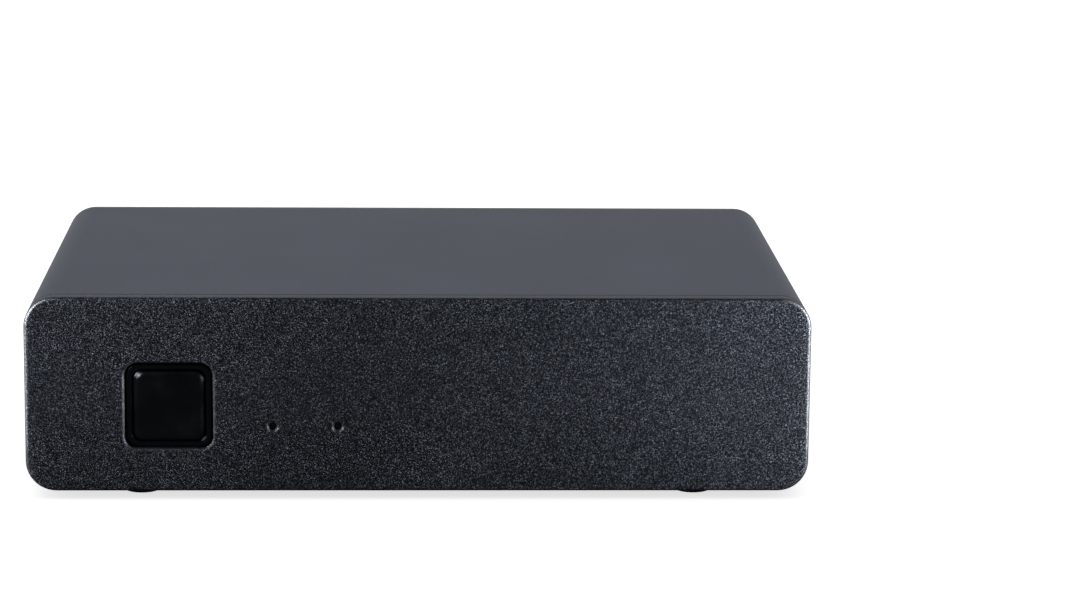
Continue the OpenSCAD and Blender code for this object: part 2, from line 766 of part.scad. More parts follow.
module rear_panel() {
    color(anodised) upright(sleeve_y, rear_y) difference() {
        case_outline();
        for (p = boss_points) translate(p) circle(clear_r);
        for (x = thumb_x) translate([x, thumb_z]) circle(clear_r + 0.3);
        translate([bay_x, (tray_z - rail_gap + cage_ceiling) / 2])
            rounded(2 * mouth_half, cage_ceiling - tray_z + rail_gap, 1);
        socket_window(jack_x, board_top, jack_w, jack_h);
        translate([rocker_x, rocker_z])
            square([rocker_body_w + 2 * rocker_gap, rocker_body_h + 2 * rocker_gap], center = true);
        for (x = concat([coax_x], av_points)) translate([x, phono_z])
            circle(phono_d / 2 + phono_collar + cutout_gap);
        socket_window(hdmi_x, board_top, hdmi_w, hdmi_h);
        socket_window(lan_x, board_top, lan_w, lan_h);
        socket_window(usb_x, board_top, usb_w, usb_h);
        for (i = [0:vent_n]) translate([vent_x0 + i * vent_pitch, vent_z]) slot(vent_w, vent_h);
    }
}

module foot(i) {
    p = foot_points[i];
    pocket_r = head_d / 2 + foot_pocket_gap;
    color([0.08, 0.08, 0.08]) translate([p.x, p.y, 0]) difference() {
        cylinder(h = foot_h, r1 = foot_d / 2 - foot_taper, r2 = foot_d / 2);
        translate([0, 0, -cut]) cylinder(h = cut + foot_head_lift + head_h, r = pocket_r);
        cylinder(h = foot_h + cut, r = clear_r);
    }
}

module foot_screws() {
    head_z = foot_head_lift + head_h;
    color(steel) for (p = foot_points) translate([p.x, p.y, head_z]) rotate([180, 0, 0])
        screw(chassis_z + foot_nut_l - head_z);
}

module case_screws() {
    color([0.12, 0.12, 0.13]) for (p = boss_points) face_back(p.x, rear_y, p.y)
        screw(rear_t + case_screw_l);
}

module chassis() {
    color(steel) difference() {
        union() {
            upright(tab_y, sleeve_y) translate([0, floor_z])
                bent_section(2 * chassis_x, chassis_t + chassis_rim, chassis_t, bend_r);
            for (x = tab_points)
                block([x - tab_w / 2, tab_y, floor_z], [x + tab_w / 2, tab_y + chassis_t, chassis_z + tab_h]);
            for (p = concat(board_points, spacer_points))
                round_z(p.x, p.y, chassis_z - overlap, board_z, standoff_r);
            for (p = foot_points)
                round_z(p.x, p.y, chassis_z - overlap, chassis_z + foot_nut_l, standoff_r);
        }
        // the rims start behind the tabs
        for (side = [-1, 1]) block([side * chassis_x - rim_cut, tab_y - cut, chassis_z],
            [side * chassis_x + rim_cut, tab_y + rim_start, chassis_z + chassis_rim + cut]);
        for (x = tab_points) round_y(x, tab_screw_z, tab_y - cut, tab_y + chassis_t + cut, clear_r);
        for (p = concat(board_points, spacer_points, foot_points))
            round_z(p.x, p.y, floor_z - cut, board_z + cut, tapped_r);
        // cooling slots under the processor
        for (i = [-3:3]) flat(floor_z - cut, chassis_z + cut)
            translate([chip_x, chip_y + i * chip_slot_pitch]) rotate(90) slot(chip_slot_w, sink_w);
    }
}

module front_panel_screws() {
    color(steel) for (x = tab_points) face_back(x, tab_y + chassis_t, tab_screw_z)
        screw(chassis_t + tab_off + tab_screw_in);
}

// ---------- button and indicators ----------

module button_bezel() {
    seat = window_w - 2 * bezel_gap;
    mouth = button_w + 2 * button_gap;
    color(gloss_black) difference() {
        union() {
            face_front(button_x, panel_y, button_z)
                soft_slab(seat, seat, window_corner - bezel_gap, front_t - bezel_recess, bezel_round);
            upright(panel_y, panel_y + bezel_flange_t) translate([button_x, button_z])
                rounded(window_w + 2 * bezel_flange, window_w + 2 * bezel_flange, window_corner);
        }
        face_front(button_x, panel_y, button_z)
            bevelled_cut(mouth, button_corner + button_gap, front_t - bezel_recess, button_gap);
        upright(panel_y - cut, panel_y + bezel_flange_t + cut) translate([button_x, button_z])
            rounded(mouth, mouth, button_corner + button_gap);
    }
}

module power_button() {
    cap_y = front_y + button_recess;
    cap_back = lip_y + lip_t;
    stem_r = plunger_d / 2 + stem_wall;
    inner = button_w - 2 * cap_wall;
    lip = button_w + 2 * lip_w;
    color(gloss_black) {
        difference() {
            union() {
                face_front(button_x, cap_back, button_z)
                    soft_slab(button_w, button_w, button_corner, cap_back - cap_y, button_round);
                upright(lip_y, cap_back) translate([button_x, button_z])
                    rounded(lip, lip, button_corner + lip_w);
            }
            // hollow from behind, with a cross of ribs round the stem
            upright(cap_y + cap_face, cap_back + cut) translate([button_x, button_z]) difference() {
                rounded(inner, inner, button_corner - cap_wall / 2);
                circle(stem_r);
                square([cap_rib, inner + cut], center = true);
                square([inner + cut, cap_rib], center = true);
            }
        }
        round_y(button_x, button_z, cap_back - overlap, stem_y, stem_r);
    }
}

module tact_switch() {
    color([0.75, 0.75, 0.77]) difference() {
        block([button_x - tact_w / 2, tact_y, button_z - tact_w / 2],
            [button_x + tact_w / 2, front_board_y, button_z + tact_w / 2]);
        round_y(button_x, button_z, tact_y - cut, tact_y + plunger_in + button_travel + 0.2,
            plunger_d / 2 + plunger_gap);
    }
}

module tact_plunger() {
    color(black_plastic) round_y(button_x, button_z, stem_y, tact_y + plunger_in, plunger_d / 2);
}

module light_pipes() {
    pipe_r = led_hole_d / 2 - pipe_gap;
    pipe_y = front_y + led_sink_t + 0.3;
    seat = panel_y - pipe_y;                // where the collar meets the panel's back
    collar_t = 1;
    color([0.85, 0.9, 0.95]) for (x = led_x) face_back(x, pipe_y, led_z) rotate_extrude() polygon([
        [0, 0], [pipe_r - 0.2, 0], [pipe_r, 0.2], [pipe_r, seat],
        [pipe_r + pipe_collar, seat], [pipe_r + pipe_collar, seat + collar_t],
        [pipe_r, seat + collar_t], [pipe_r, seat + led_near - 0.4], [0, seat + led_near - 0.4]]);
}

module front_leds() {
    led_r = led_d / 2;
    length = front_board_off - led_near;
    color([0.9, 0.9, 0.95]) for (x = led_x) face_front(x, front_board_y, led_z) rotate_extrude() {
        square([led_r + 0.4, 1]);
        square([led_r, length - led_r]);
        intersection() {
            translate([0, length - led_r]) circle(led_r);
            translate([0, length - led_r - overlap]) square([led_r, led_r + overlap]);
        }
    }
}

module infrared_receiver() {
    eye_x = button_x + button_w / 2 + eye_w;
    eye_h = eye_w * 1.36;
    eye_y = front_board_y - eye_w * 0.6;
    color(black_plastic) {
        block([eye_x - eye_w / 2, eye_y, button_z - eye_h / 2],
            [eye_x + eye_w / 2, front_board_y, button_z + eye_h / 2]);
        face_front(eye_x, eye_y, button_z) cylinder(h = eye_w * 0.44, r1 = eye_w * 0.46, r2 = eye_w / 4);
    }
}

module front_board() {
    color(board_green) upright(front_board_y, front_board_y + board_t) difference() {
        translate([(front_board_x0 + front_board_x1) / 2, button_z])
            rounded(front_board_x1 - front_board_x0, 2 * front_board_up, 1.5);
        for (p = front_board_points) translate(p) circle(clear_r);
    }
}

module front_board_screws() {
    color(steel) for (p = front_board_points) face_back(p.x, front_board_y + board_t, p.y)
        screw(board_t + front_screw_in);
}

// Flat cable: down behind the front board, round a bend, and back to the main board
cable_x = button_x + led_first + led_pitch / 2;
cable_w = 12;
cable_t = 0.5;
cable_bend = 5;
cable_lift = 2.2;                       // of the cable over the main board
connector_h = 4.6;                      // of its two connectors over their boards
connector_l = 6;
connector_wall = 2;                     // of a connector beside the cable
cable_y = front_board_y + board_t + connector_h / 2;
cable_z = board_top + cable_lift;
cable_run = 14;                         // of the cable over the main board
cable_drop = 10;                        // of its top end below the front board's edge
cable_end = cable_y + cable_run;
cable_top = front_board_z1 - cable_drop;
cable_x0 = cable_x - cable_w / 2;
cable_x1 = cable_x + cable_w / 2;

module front_cable() {
    color([0.85, 0.85, 0.82]) across(cable_x0, cable_x1) {
        translate([cable_y, cable_z + cable_bend]) square([cable_t, cable_top - cable_z - cable_bend]);
        translate([cable_y + cable_bend, cable_z]) square([cable_end - cable_y - cable_bend, cable_t]);
        translate([cable_y + cable_bend, cable_z + cable_bend]) intersection() {
            difference() {
                circle(cable_bend);
                circle(cable_bend - cable_t);
            }
            translate([-cable_bend, -cable_bend]) square(cable_bend);
        }
    }
}

module front_cable_connectors() {
    x0 = cable_x0 - connector_wall;
    x1 = cable_x1 + connector_wall;
    board_face = front_board_y + board_t;
    low = cable_top - connector_l / 2;
    near = cable_end - connector_l / 3;
    color([0.9, 0.9, 0.85]) {
        difference() {
            block([x0, board_face, low], [x1, board_face + connector_h, low + connector_l]);
            block([cable_x0, cable_y, low - cut], [cable_x1, cable_y + cable_t, cable_top]);
        }
        difference() {
            block([x0, near, board_top], [x1, near + connector_l, board_top + connector_h]);
            block([cable_x0, near - cut, cable_z], [cable_x1, cable_end, cable_z + cable_t]);
        }
    }
}

// ---------- main board ----------

module main_board() {
    color(board_green) flat(board_z, board_top) difference() {
        translate([0, (board_y0 + board_y1) / 2]) rounded(2 * board_x, board_y1 - board_y0, 2);
        for (p = concat(board_points, spacer_points)) translate(p) circle(clear_r);
        for (p = pin_points) translate(p) circle(pin_r + 0.1);
    }
}

module board_screws() {
    color(steel) for (p = board_points) translate([p.x, p.y, board_top]) screw(board_t + standoff_h - 0.6);
}

module processor() {
    color(black_plastic) translate([chip_x, chip_y, board_top]) {
        linear_extrude(chip_h * 0.4) square(chip_w, center = true);
        linear_extrude(chip_h) square(chip_w - 2 * lid_inset, center = true);
    }
}

module thermal_pad() {
    color([0.5, 0.6, 0.75]) translate([chip_x, chip_y, pad_z])
        linear_extrude(pad_t) square(chip_w - 2 * lid_inset - 2, center = true);
}

module heat_sink() {
    half = sink_w / 2;
    clear = pin_r + 0.3;
    notch = 2 * (pin_inset + 1);
    color([0.3, 0.32, 0.36]) difference() {
        upright(chip_y - half, chip_y + half) translate([chip_x - half, sink_z]) {
            square([sink_w, sink_base]);
            for (i = [0:fin_n - 1]) translate([i * fin_pitch, 0]) square([fin_t, sink_base + fin_h]);
        }
        // the pins' heads stand on the base, so the fins are cut away round them
        for (p = pin_points) {
            round_z(p.x, p.y, sink_z - cut, sink_z + sink_base + cut, clear);
            translate([p.x - notch / 2, p.y - notch / 2, sink_z + sink_base])
                cube([notch, notch, fin_h + cut]);
        }
    }
}

module heat_sink_pins() {
    barb_h = 1.5;
    barb_r = pin_r + 0.6;
    head_t = 1.6;
    length = sink_z + sink_base - board_z + barb_h;
    color(black_plastic) for (p = pin_points) translate([p.x, p.y, board_z - barb_h]) rotate_extrude() {
        square([pin_r, length]);
        polygon([[0, 0], [pin_r - 0.1, 0], [barb_r, barb_h], [0, barb_h]]);
        translate([0, length]) square([2 * pin_r + 0.4, head_t]);
    }
}

module memory_chips() {
    y = chip_y - sink_w / 2 - memory_l * 0.75;
    color(black_plastic) for (i = [0:3])
        translate([chip_x + (i - 1.5) * (memory_w + memory_gap), y, board_top])
            linear_extrude(1.1) square([memory_w, memory_l], center = true);
}

// A can with a rolled groove near its foot and a bevelled top
module capacitors() {
    groove = can_r / 10;
    color([0.35, 0.4, 0.55]) for (i = [0:can_n - 1])
        translate([can_x + i * (2 * can_r + can_gap), can_y, board_top]) rotate_extrude() polygon([
            [0, 0], [can_r, 0], [can_r, 3 * groove], [can_r - groove, 4 * groove], [can_r, 5 * groove],
            [can_r, can_h - 0.5], [can_r - 0.5, can_h], [0, can_h]]);
}

module power_coils() {
    dish = 0.4;
    first_y = cell_y + holder_r + 3 + coil_w / 2;
    color([0.2, 0.2, 0.22]) for (i = [0:2])
        translate([coil_x, first_y + i * (coil_w + coil_gap), board_top]) difference() {
            linear_extrude(coil_h) rounded(coil_w, coil_w, 1.5);
            translate([0, 0, coil_h - dish]) cylinder(h = dish + cut, r = coil_w * 0.32);
        }
}

module coin_cell() {
    color([0.8, 0.8, 0.82]) translate([cell_x, cell_y, board_top + cell_lift]) rotate_extrude() polygon([
        [0, 0], [cell_d / 2 - 1.2, 0], [cell_d / 2 - 1.2, 0.4], [cell_d / 2, 0.4],
        [cell_d / 2, cell_t - 0.2], [cell_d / 2 - 0.2, cell_t], [0, cell_t]]);
}

module cell_holder() {
    color(black_plastic) translate([cell_x, cell_y, board_top]) difference() {
        cylinder(h = cell_t + 1, r = holder_r);
        translate([0, 0, cell_lift]) cylinder(h = cell_t + cut, r = cell_d / 2 + 0.1);
        // finger notch across the holder
        translate([-holder_r - cut, -cell_d / 5, cell_lift + 1])
            cube([2 * (holder_r + cut), cell_d * 0.4, cell_t + cut]);
    }
}

// ---------- rear sockets ----------

module power_jack() {
    color(black_plastic) {
        difference() {
            block([jack_x - jack_w / 2, socket_y - jack_l, board_top],
                [jack_x + jack_w / 2, socket_y, board_top + jack_h]);
            round_y(jack_x, jack_z, socket_y - jack_bore_l, socket_y + cut, jack_bore_d / 2);
        }
        round_y(jack_x, jack_z, socket_y - jack_bore_l - 0.5, socket_y - jack_pin_in, jack_pin_d / 2);
    }
}

module rocker_housing() {
    flange_w = 2 * flange_half();
    flange_h = rocker_body_h + 2 * rocker_flange;
    mouth_h = 2 * rocker_half + 2.4;
    tab_y = rear_y - rocker_depth - rocker_tab_l;
    bearing_half = rocker_w / 2 + stub_l + 0.3;
    color(black_plastic) difference() {
        translate([rocker_x, 0, rocker_z]) {
            upright(rear_y - rocker_depth, rear_y) square([rocker_body_w, rocker_body_h], center = true);
            upright(rear_y, rear_y + rocker_flange_t) rounded(flange_w, flange_h, 1);
            for (i = [-1, 0, 1]) upright(tab_y, rear_y - rocker_depth + cut)
                translate([0, i * rocker_tab_pitch]) square([4.8, 0.8], center = true);
        }
        upright(rocker_floor, rear_y + rocker_flange_t + cut) translate([rocker_x, rocker_z])
            square([rocker_w + 0.6, mouth_h], center = true);
        across(rocker_x - bearing_half, rocker_x + bearing_half)
            translate([pivot_y, rocker_z]) circle(pivot_r + pivot_gap);
    }
}

module power_rocker() {
    proud = 4.6;                            // of the rocker's raised end over its axis
    dish = 1.3;
    outline = [[-1.4, -rocker_half + 0.3], [proud, -rocker_half], [proud - dish, 0], [proud, rocker_half],
        [-1.4, rocker_half - 0.3], [-rocker_back, rocker_back], [-rocker_back, -rocker_back]];
    color([0.07, 0.07, 0.07]) translate([rocker_x, pivot_y, rocker_z]) rotate([-rocker_tilt, 0, 0]) {
        across(-rocker_w / 2, rocker_w / 2) polygon(outline);
        across(-rocker_w / 2 - stub_l, rocker_w / 2 + stub_l) circle(pivot_r);
    }
}

// Two leads from the rocker switch's tabs down to a header on the main board
module rocker_leads() {
    lead_r = 0.9;
    bend = 4;
    header_h = 7;
    header_half = [4, 3];
    lead_y = rear_y - rocker_depth - rocker_tab_l;
    header_y = lead_y - 6 - bend;
    color([0.7, 0.1, 0.1]) for (i = [0, 1]) {
        x = rocker_x + (2 * i - 1) * (lead_r + 0.3);
        z = rocker_z + (1 - i) * rocker_tab_pitch;
        round_y(x, z, header_y + bend, lead_y, lead_r);
        translate([x, header_y + bend, z - bend]) rotate([90, 0, 90])
            rotate([0, 0, 90]) rotate_extrude(angle = 90) translate([bend, 0]) circle(lead_r);
        round_z(x, header_y, board_top + header_h, z - bend, lead_r);
    }
    color([0.9, 0.9, 0.85]) block([rocker_x - header_half.x, header_y - header_half.y, board_top],
        [rocker_x + header_half.x, header_y + header_half.y, board_top + header_h]);
}

// One phono socket: its block on the board, its collar in the rear panel's hole and its shell
module phono_jack(x, tint) {
    block_y = sleeve_y - phono_behind;
    color(tint) difference() {
        union() {
            block([x - phono_half, block_y - phono_h, board_top],
                [x + phono_half, block_y, board_top + phono_h]);
            round_y(x, phono_z, block_y - overlap, rear_y + phono_collar, phono_d / 2 + phono_collar);
            round_y(x, phono_z, rear_y, rear_y + phono_out, phono_d / 2);
        }
        round_y(x, phono_z, rear_y, rear_y + phono_out + cut, phono_bore_d / 2);
    }
}

// The outline of the digital video socket: its lower corners are cut off
module hdmi_outline(inset) {
    w = hdmi_w / 2 - inset;
    corner_x = 1.6;
    corner_z = 2.2;
    polygon([[-w, hdmi_h - inset], [w, hdmi_h - inset], [w, corner_z],
        [w - corner_x, inset], [corner_x - w, inset], [-w, corner_z]]);
}

module hdmi_socket() {
    wall = 0.5;
    mouth_d = 9;
    tongue = [11.2, mouth_d - 0.7, 0.9];
    color(steel) {
        difference() {
            upright(socket_y - mouth_d - 2.5, socket_y) translate([hdmi_x, board_top]) hdmi_outline(0);
            upright(socket_y - mouth_d, socket_y + cut) translate([hdmi_x, board_top]) hdmi_outline(wall);
        }
        translate([hdmi_x - tongue.x / 2, socket_y - mouth_d - 0.5, board_top + hdmi_h * 0.45]) cube(tongue);
    }
}

// Network socket: a wide cavity with the latch's stepped slot under it
lan_cavity_w = 11.9;
lan_cavity_z = board_top + 4.4;
lan_cavity_h = 7.9;
lan_cavity_d = 13;

module network_socket() {
    color(steel) difference() {
        block([lan_x - lan_w / 2, socket_y - lan_d, board_top],
            [lan_x + lan_w / 2, socket_y, board_top + lan_h]);
        upright(socket_y - lan_cavity_d, socket_y + cut) translate([lan_x, lan_cavity_z]) {
            translate([-lan_cavity_w / 2, 0]) square([lan_cavity_w, lan_cavity_h]);
            translate([-3, -1.6]) square([6, 1.8]);
            translate([-1.6, -2.8]) square([3.2, 1.4]);
        }
    }
}

module usb_sockets() {
    mouth = [12.6, 13, 5.2];
    tongue = [11.2, 12, 1.9];
    rise = (usb_h - 2 * mouth.z) / 3;
    color(steel) {
        difference() {
            block([usb_x - usb_w / 2, socket_y - usb_d, board_top],
                [usb_x + usb_w / 2, socket_y, board_top + usb_h]);
            for (i = [0, 1])
                translate([usb_x - mouth.x / 2, socket_y - mouth.y, board_top + rise + i * (mouth.z + rise)])
                    cube([mouth.x, mouth.y + cut, mouth.z]);
        }
        for (i = [0, 1]) translate([usb_x - tongue.x / 2, socket_y - mouth.y - 0.5,
            board_top + rise + i * (mouth.z + rise) + mouth.z * 0.56]) cube(tongue);
    }
}

// ---------- drive bay ----------

module drive_cage() {
    depth_mid = (cage_y0 + sleeve_y) / 2;
    window = [opening_w, 34];
    side_slot_pitch = 14;
    ear_h = 2 * nut_r + 10;
    color(steel) difference() {
        union() {
            upright(cage_y0, sleeve_y) translate([bay_x, cage_z])
                bent_section(2 * cage_half, cage_ceiling + cage_t - cage_z, cage_t, bend_r);
            // turned-in top edges
            for (side = [-1, 1]) upright(cage_y0, sleeve_y)
                translate([bay_x + side * (cage_half - cage_top_w / 2), cage_ceiling + cage_t / 2])
                    square([cage_top_w, cage_t], center = true);
            // front wall that carries the drive's connector board
            block([bay_x - mouth_half - overlap, cage_y0, cage_z],
                [bay_x + mouth_half + overlap, cage_y0 + cage_t, cage_front_top]);
            // rear ears behind the rear panel
            for (side = [-1, 1]) upright(sleeve_y - cage_t, sleeve_y)
                translate([bay_x + side * (mouth_half + face_half - ear_margin) / 2, thumb_z])
                    square([face_half - ear_margin - mouth_half, ear_h], center = true);
        }
        for (p = spacer_points) round_z(p.x, p.y, cage_z - cut, cage_floor + cut, clear_r);
        for (p = peg_points) round_z(p.x, p.y, cage_z - cut, cage_floor + cut, peg_r + 0.1);
        for (x = thumb_x) round_y(x, thumb_z, sleeve_y - cage_t - cut, sleeve_y + cut, nut_shank_r + 0.05);
        // window for the drive's socket
        block([bay_x - plug_w / 2 - 0.5, cage_y0 - cut, plug_z - plug_h / 2 - 0.5],
            [bay_x + plug_w / 2 + 0.5, cage_y0 + cage_t + cut, plug_z + plug_h / 2 + 0.5]);
        for (x = drive_screw_x) round_y(x, drive_screw_z, cage_y0 - cut, cage_y0 + cage_t + cut, tapped_r);
        // floor windows, three along the bay
        for (i = [-1, 0, 1]) flat(cage_z - cut, cage_floor + cut)
            translate([bay_x, depth_mid + i * window_pitch]) rounded(window.x, window.y, 4);
        // side slots
        for (i = [-4:4]) across(bay_x - cage_half - cut, bay_x + cage_half + cut)
            translate([depth_mid + i * side_slot_pitch, (tray_z + cage_ceiling) / 2]) slot(4, 18);
    }
}

// The glides that the tray slides on, with sloped ends, pegged through the cage's floor
module tray_rails() {
    y0 = cage_y0 + rail_inset;
    y1 = sleeve_y - rail_inset;
    color([0.9, 0.9, 0.86]) {
        for (side = [-1, 1]) translate([bay_x + side * rail_x, 0, cage_floor]) across(-rail_w / 2, rail_w / 2)
            polygon([[y0, 0], [y1, 0], [y1, rail_h / 2],
                [y1 - rail_h, rail_h], [y0 + rail_h, rail_h], [y0, rail_h / 2]]);
        for (p = peg_points) round_z(p.x, p.y, cage_z, cage_floor + overlap, peg_r);
    }
}

module cage_spacers() {
    color([0.8, 0.65, 0.3]) for (p = spacer_points) difference() {
        translate([p.x, p.y, board_top]) cylinder(h = spacer_h, r = spacer_d / 2, $fn = 6);
        round_z(p.x, p.y, cage_z - spacer_hole, cage_z + cut, tapped_r);
        round_z(p.x, p.y, board_top - cut, board_top + spacer_hole, tapped_r);
    }
}

// Cage screws from above, and board screws from below into the same spacers
module cage_screws() {
    color(steel) for (p = spacer_points) {
        translate([p.x, p.y, cage_floor]) screw(cage_t + spacer_hole - 1);
        round_z(p.x, p.y, floor_z, board_top + spacer_hole - 1, screw_r);
    }
}

module thumb_nuts() {
    color(steel) for (x = thumb_x) difference() {
        union() {
            round_y(x, thumb_z, nut_y, sleeve_y - cage_t, nut_r);
            round_y(x, thumb_z, sleeve_y - cage_t - overlap, sleeve_y, nut_shank_r);
        }
        round_y(x, thumb_z, nut_y - cut, sleeve_y + cut, screw_r + nut_gap);
    }
}

// The drive's connector board hangs in front of the cage's front wall
module drive_board() {
    color(board_green) upright(drive_board_y, cage_y0) difference() {
        translate([bay_x, (drive_board_foot + drive_board_top) / 2])
            rounded(2 * drive_board_half, drive_board_top - drive_board_foot, 1.5);
        for (x = drive_screw_x) translate([x, drive_screw_z]) circle(clear_r);
    }
}

module drive_board_screws() {
    color(steel) for (x = drive_screw_x)
        face_front(x, drive_board_y, drive_screw_z) screw(board_t + cage_t + 0.3);
}

module drive_socket() {
    socket_end = drive_y0 + plug_in;
    slot_d = 5;
    slot_half = 0.6;
    key_w = 1.2;
    power_w = 22.5;
    data_w = 12;
    margin = 2;
    slots = [[bay_x - plug_w / 2 + margin, power_w, 0],
        [bay_x + plug_w / 2 - margin - data_w, data_w, data_w - key_w]];
    color(black_plastic) difference() {
        block([bay_x - plug_w / 2, cage_y0, plug_z - plug_h / 2],
            [bay_x + plug_w / 2, socket_end, plug_z + plug_h / 2]);
        // the long power slot, and the short data slot, each with its L-shaped key
        for (s = slots) {
            block([s[0], socket_end - slot_d, plug_z - slot_half],
                [s[0] + s[1], socket_end + cut, plug_z + slot_half]);
            block([s[0] + s[2], socket_end - slot_d, plug_z - slot_half - key_w],
                [s[0] + s[2] + key_w, socket_end + cut, plug_z]);
        }
    }
}

// Flat cable from behind the drive board's foot down to the main board, with its two plugs
module drive_cable() {
    plug = [20, 6, 5.5];
    ribbon = [plug.x - 2, 1.2];
    x0 = bay_x - plug.x / 2;
    upper_z = cage_z - 1.5 - plug.z;
    color([0.15, 0.15, 0.17]) {
        translate([x0, cage_y0, upper_z]) cube(plug);
        translate([x0, cage_y0, board_top]) cube(plug);
        block([bay_x - ribbon.x / 2, cage_y0 + (plug.y - ribbon.y) / 2, board_top + plug.z - overlap],
            [bay_x + ribbon.x / 2, cage_y0 + (plug.y + ribbon.y) / 2, upper_z + overlap]);
    }
}

// ---------- tray ----------

module drive_tray() {
    rear_wall_h = drive_top - tray_z - 1;
    mid_y = (tray_y0 + tray_end_y) / 2;
    window = [opening_w, 32];
    notch = 11;
    color(steel) difference() {
        union() {
            upright(tray_y0, tray_end_y) translate([bay_x, tray_z])
                bent_section(2 * tray_half, tray_side_h, tray_t, bend_r);
            upright(tray_end_y - tray_t, tray_end_y) translate([bay_x, tray_z + rear_wall_h / 2 + 0.5])
                square([2 * tray_half - 2, rear_wall_h - 1], center = true);
        }
        for (side = [-1, 1], y = hole_y)
            round_z(bay_x + side * hole_pitch_x / 2, y, tray_z - cut, drive_z + cut, drive_hole_d / 2);
        // cooling windows in the floor
        for (i = [-1, 0, 1]) flat(tray_z - cut, drive_z + cut)
            translate([bay_x, mid_y + i * window_pitch]) rounded(window.x, window.y, 5);
        // the air passes the rear wall behind the face's slots
        upright(tray_end_y - tray_t - cut, tray_end_y + cut) face_slots(2);
        for (x = face_screw_x) round_y(x, thumb_z, tray_end_y - tray_t - cut, tray_end_y + cut, clear_r);
        // the side walls' front corners are cut back where the drive's plug goes in
        for (side = [-1, 1]) translate([bay_x + side * tray_half, tray_y0, tray_z + tray_side_h])
            rotate([45, 0, 0]) cube([6, notch, notch], center = true);
    }
}

// Columns of slots, in three rows, over the middle of the face
face_slot_pitch = face_slot_w + 4;
face_row_pitch = face_slot_h + 4;
face_screw_off = face_slot_n / 2 * face_slot_pitch + 3;
face_screw_x = [bay_x - face_screw_off, bay_x + face_screw_off];

module face_slots(grow = 0) {
    for (i = [0:face_slot_n - 1], row = [-1, 0, 1])
        translate([bay_x + (i - (face_slot_n - 1) / 2) * face_slot_pitch, thumb_z + row * face_row_pitch])
            rotate(90) slot(face_slot_h + grow / 2, face_slot_w + grow);
}

module tray_face() {
    face_h = cage_ceiling - tray_z + rail_gap + 2 * face_over;
    face_z = (tray_z - rail_gap + cage_ceiling) / 2;
    inner_w = 2 * face_half - 2 * face_rim;
    inner_h = face_h - 2 * face_rim;
    boss_outer = screw_r + 1.9;
    rib_t = 1.4;
    color(black_plastic) difference() {
        union() {
            difference() {
                face_back(bay_x, face_y, face_z)
                    soft_slab(2 * face_half, face_h, face_corner, face_t, face_round);
                upright(face_y - cut, skin_y) translate([bay_x, face_z])
                    rounded(inner_w, inner_h, face_corner - face_rim);
            }
            for (x = face_screw_x) round_y(x, thumb_z, tray_end_y, skin_y + overlap, boss_outer);
            // stiffening ribs beside the screw bosses
            for (side = [-1, 1]) upright(face_y, skin_y + overlap)
                translate([bay_x + side * (tray_half + rib_t / 2), face_z])
                    square([rib_t, inner_h + overlap], center = true);
        }
        upright(skin_y - cut, face_y + face_t + cut) face_slots();
        for (x = thumb_x) round_y(x, thumb_z, skin_y - cut, face_y + face_t + cut, clear_r + 0.1);
        for (x = face_screw_x) round_y(x, thumb_z, tray_end_y - cut, skin_y - 0.2, tapped_r);
    }
}

module tray_face_screws() {
    thread_l = 4;
    low_head = drive_end_gap - 0.1;         // low enough for the drive in front of it
    color(steel) for (x = face_screw_x) face_front(x, tray_end_y - tray_t, thumb_z) difference() {
        union() {
            translate([0, 0, -tray_t - thread_l]) cylinder(h = tray_t + thread_l, r = screw_r);
            cylinder(h = low_head, r = head_d / 2);
        }
        for (a = [0, 90]) rotate(a) block([-head_d * 0.3, -recess_w / 2, low_head / 3],
            [head_d * 0.3, recess_w / 2, low_head + cut]);
    }
}

// An E-shaped clip in the screw's groove, open at the bottom
module retaining_clip(i) {
    lug_r = neck_r + clip_gap;
    ring = 0.9;
    lug_w = 1.6;
    color(steel) upright(clip_y, clip_y + clip_t) translate([thumb_x[i], thumb_z]) difference() {
        circle(clip_r);
        difference() {
            circle(clip_r - ring);
            for (a = [0, 90, 180]) rotate(a) translate([0, -lug_w / 2]) square([clip_r - ring / 2, lug_w]);
        }
        circle(lug_r);
        translate([-lug_r, -clip_r - cut]) square([2 * lug_r, clip_r + cut]);
    }
}

module knurled_outline() {
    difference() {
        circle(knob_d / 2);
        for (k = [0:knurl_n - 1])
            rotate(k * 360 / knurl_n) translate([knob_d / 2, 0]) circle(knurl_r, $fn = 16);
    }
}

module thumbscrew(i) {
    x = thumb_x[i];
    edge = knob_d / 2;
    tip_y = nut_y - 0.4;
    groove_y = clip_y - clip_gap;
    tip_l = groove_y - tip_y;
    point = 0.4;
    slot_d = 1.6;
    slot_w = 1.2;
    color(steel) {
        difference() {
            intersection() {
                upright(knob_y, knob_y + knob_l) translate([x, thumb_z]) knurled_outline();
                face_back(x, knob_y - cut, thumb_z) rotate_extrude() polygon([
                    [0, 0], [edge - knob_bevel + cut, 0], [edge + cut, knob_bevel + 2 * cut],
                    [edge + cut, knob_l - knob_bevel], [edge - knob_bevel, knob_l + cut], [0, knob_l + cut]]);
            }
            upright(knob_y + knob_l - slot_d, knob_y + knob_l + cut) translate([x, thumb_z])
                square([knob_d + cut, slot_w], center = true);
        }
        round_y(x, thumb_z, groove_y + groove_t, knob_y + overlap, screw_r);
        round_y(x, thumb_z, groove_y - overlap, groove_y + groove_t + overlap, neck_r);
        face_front(x, groove_y, thumb_z) rotate_extrude() polygon([
            [0, 0], [screw_r, 0], [screw_r, tip_l - point], [screw_r - point, tip_l], [0, tip_l]]);
    }
}

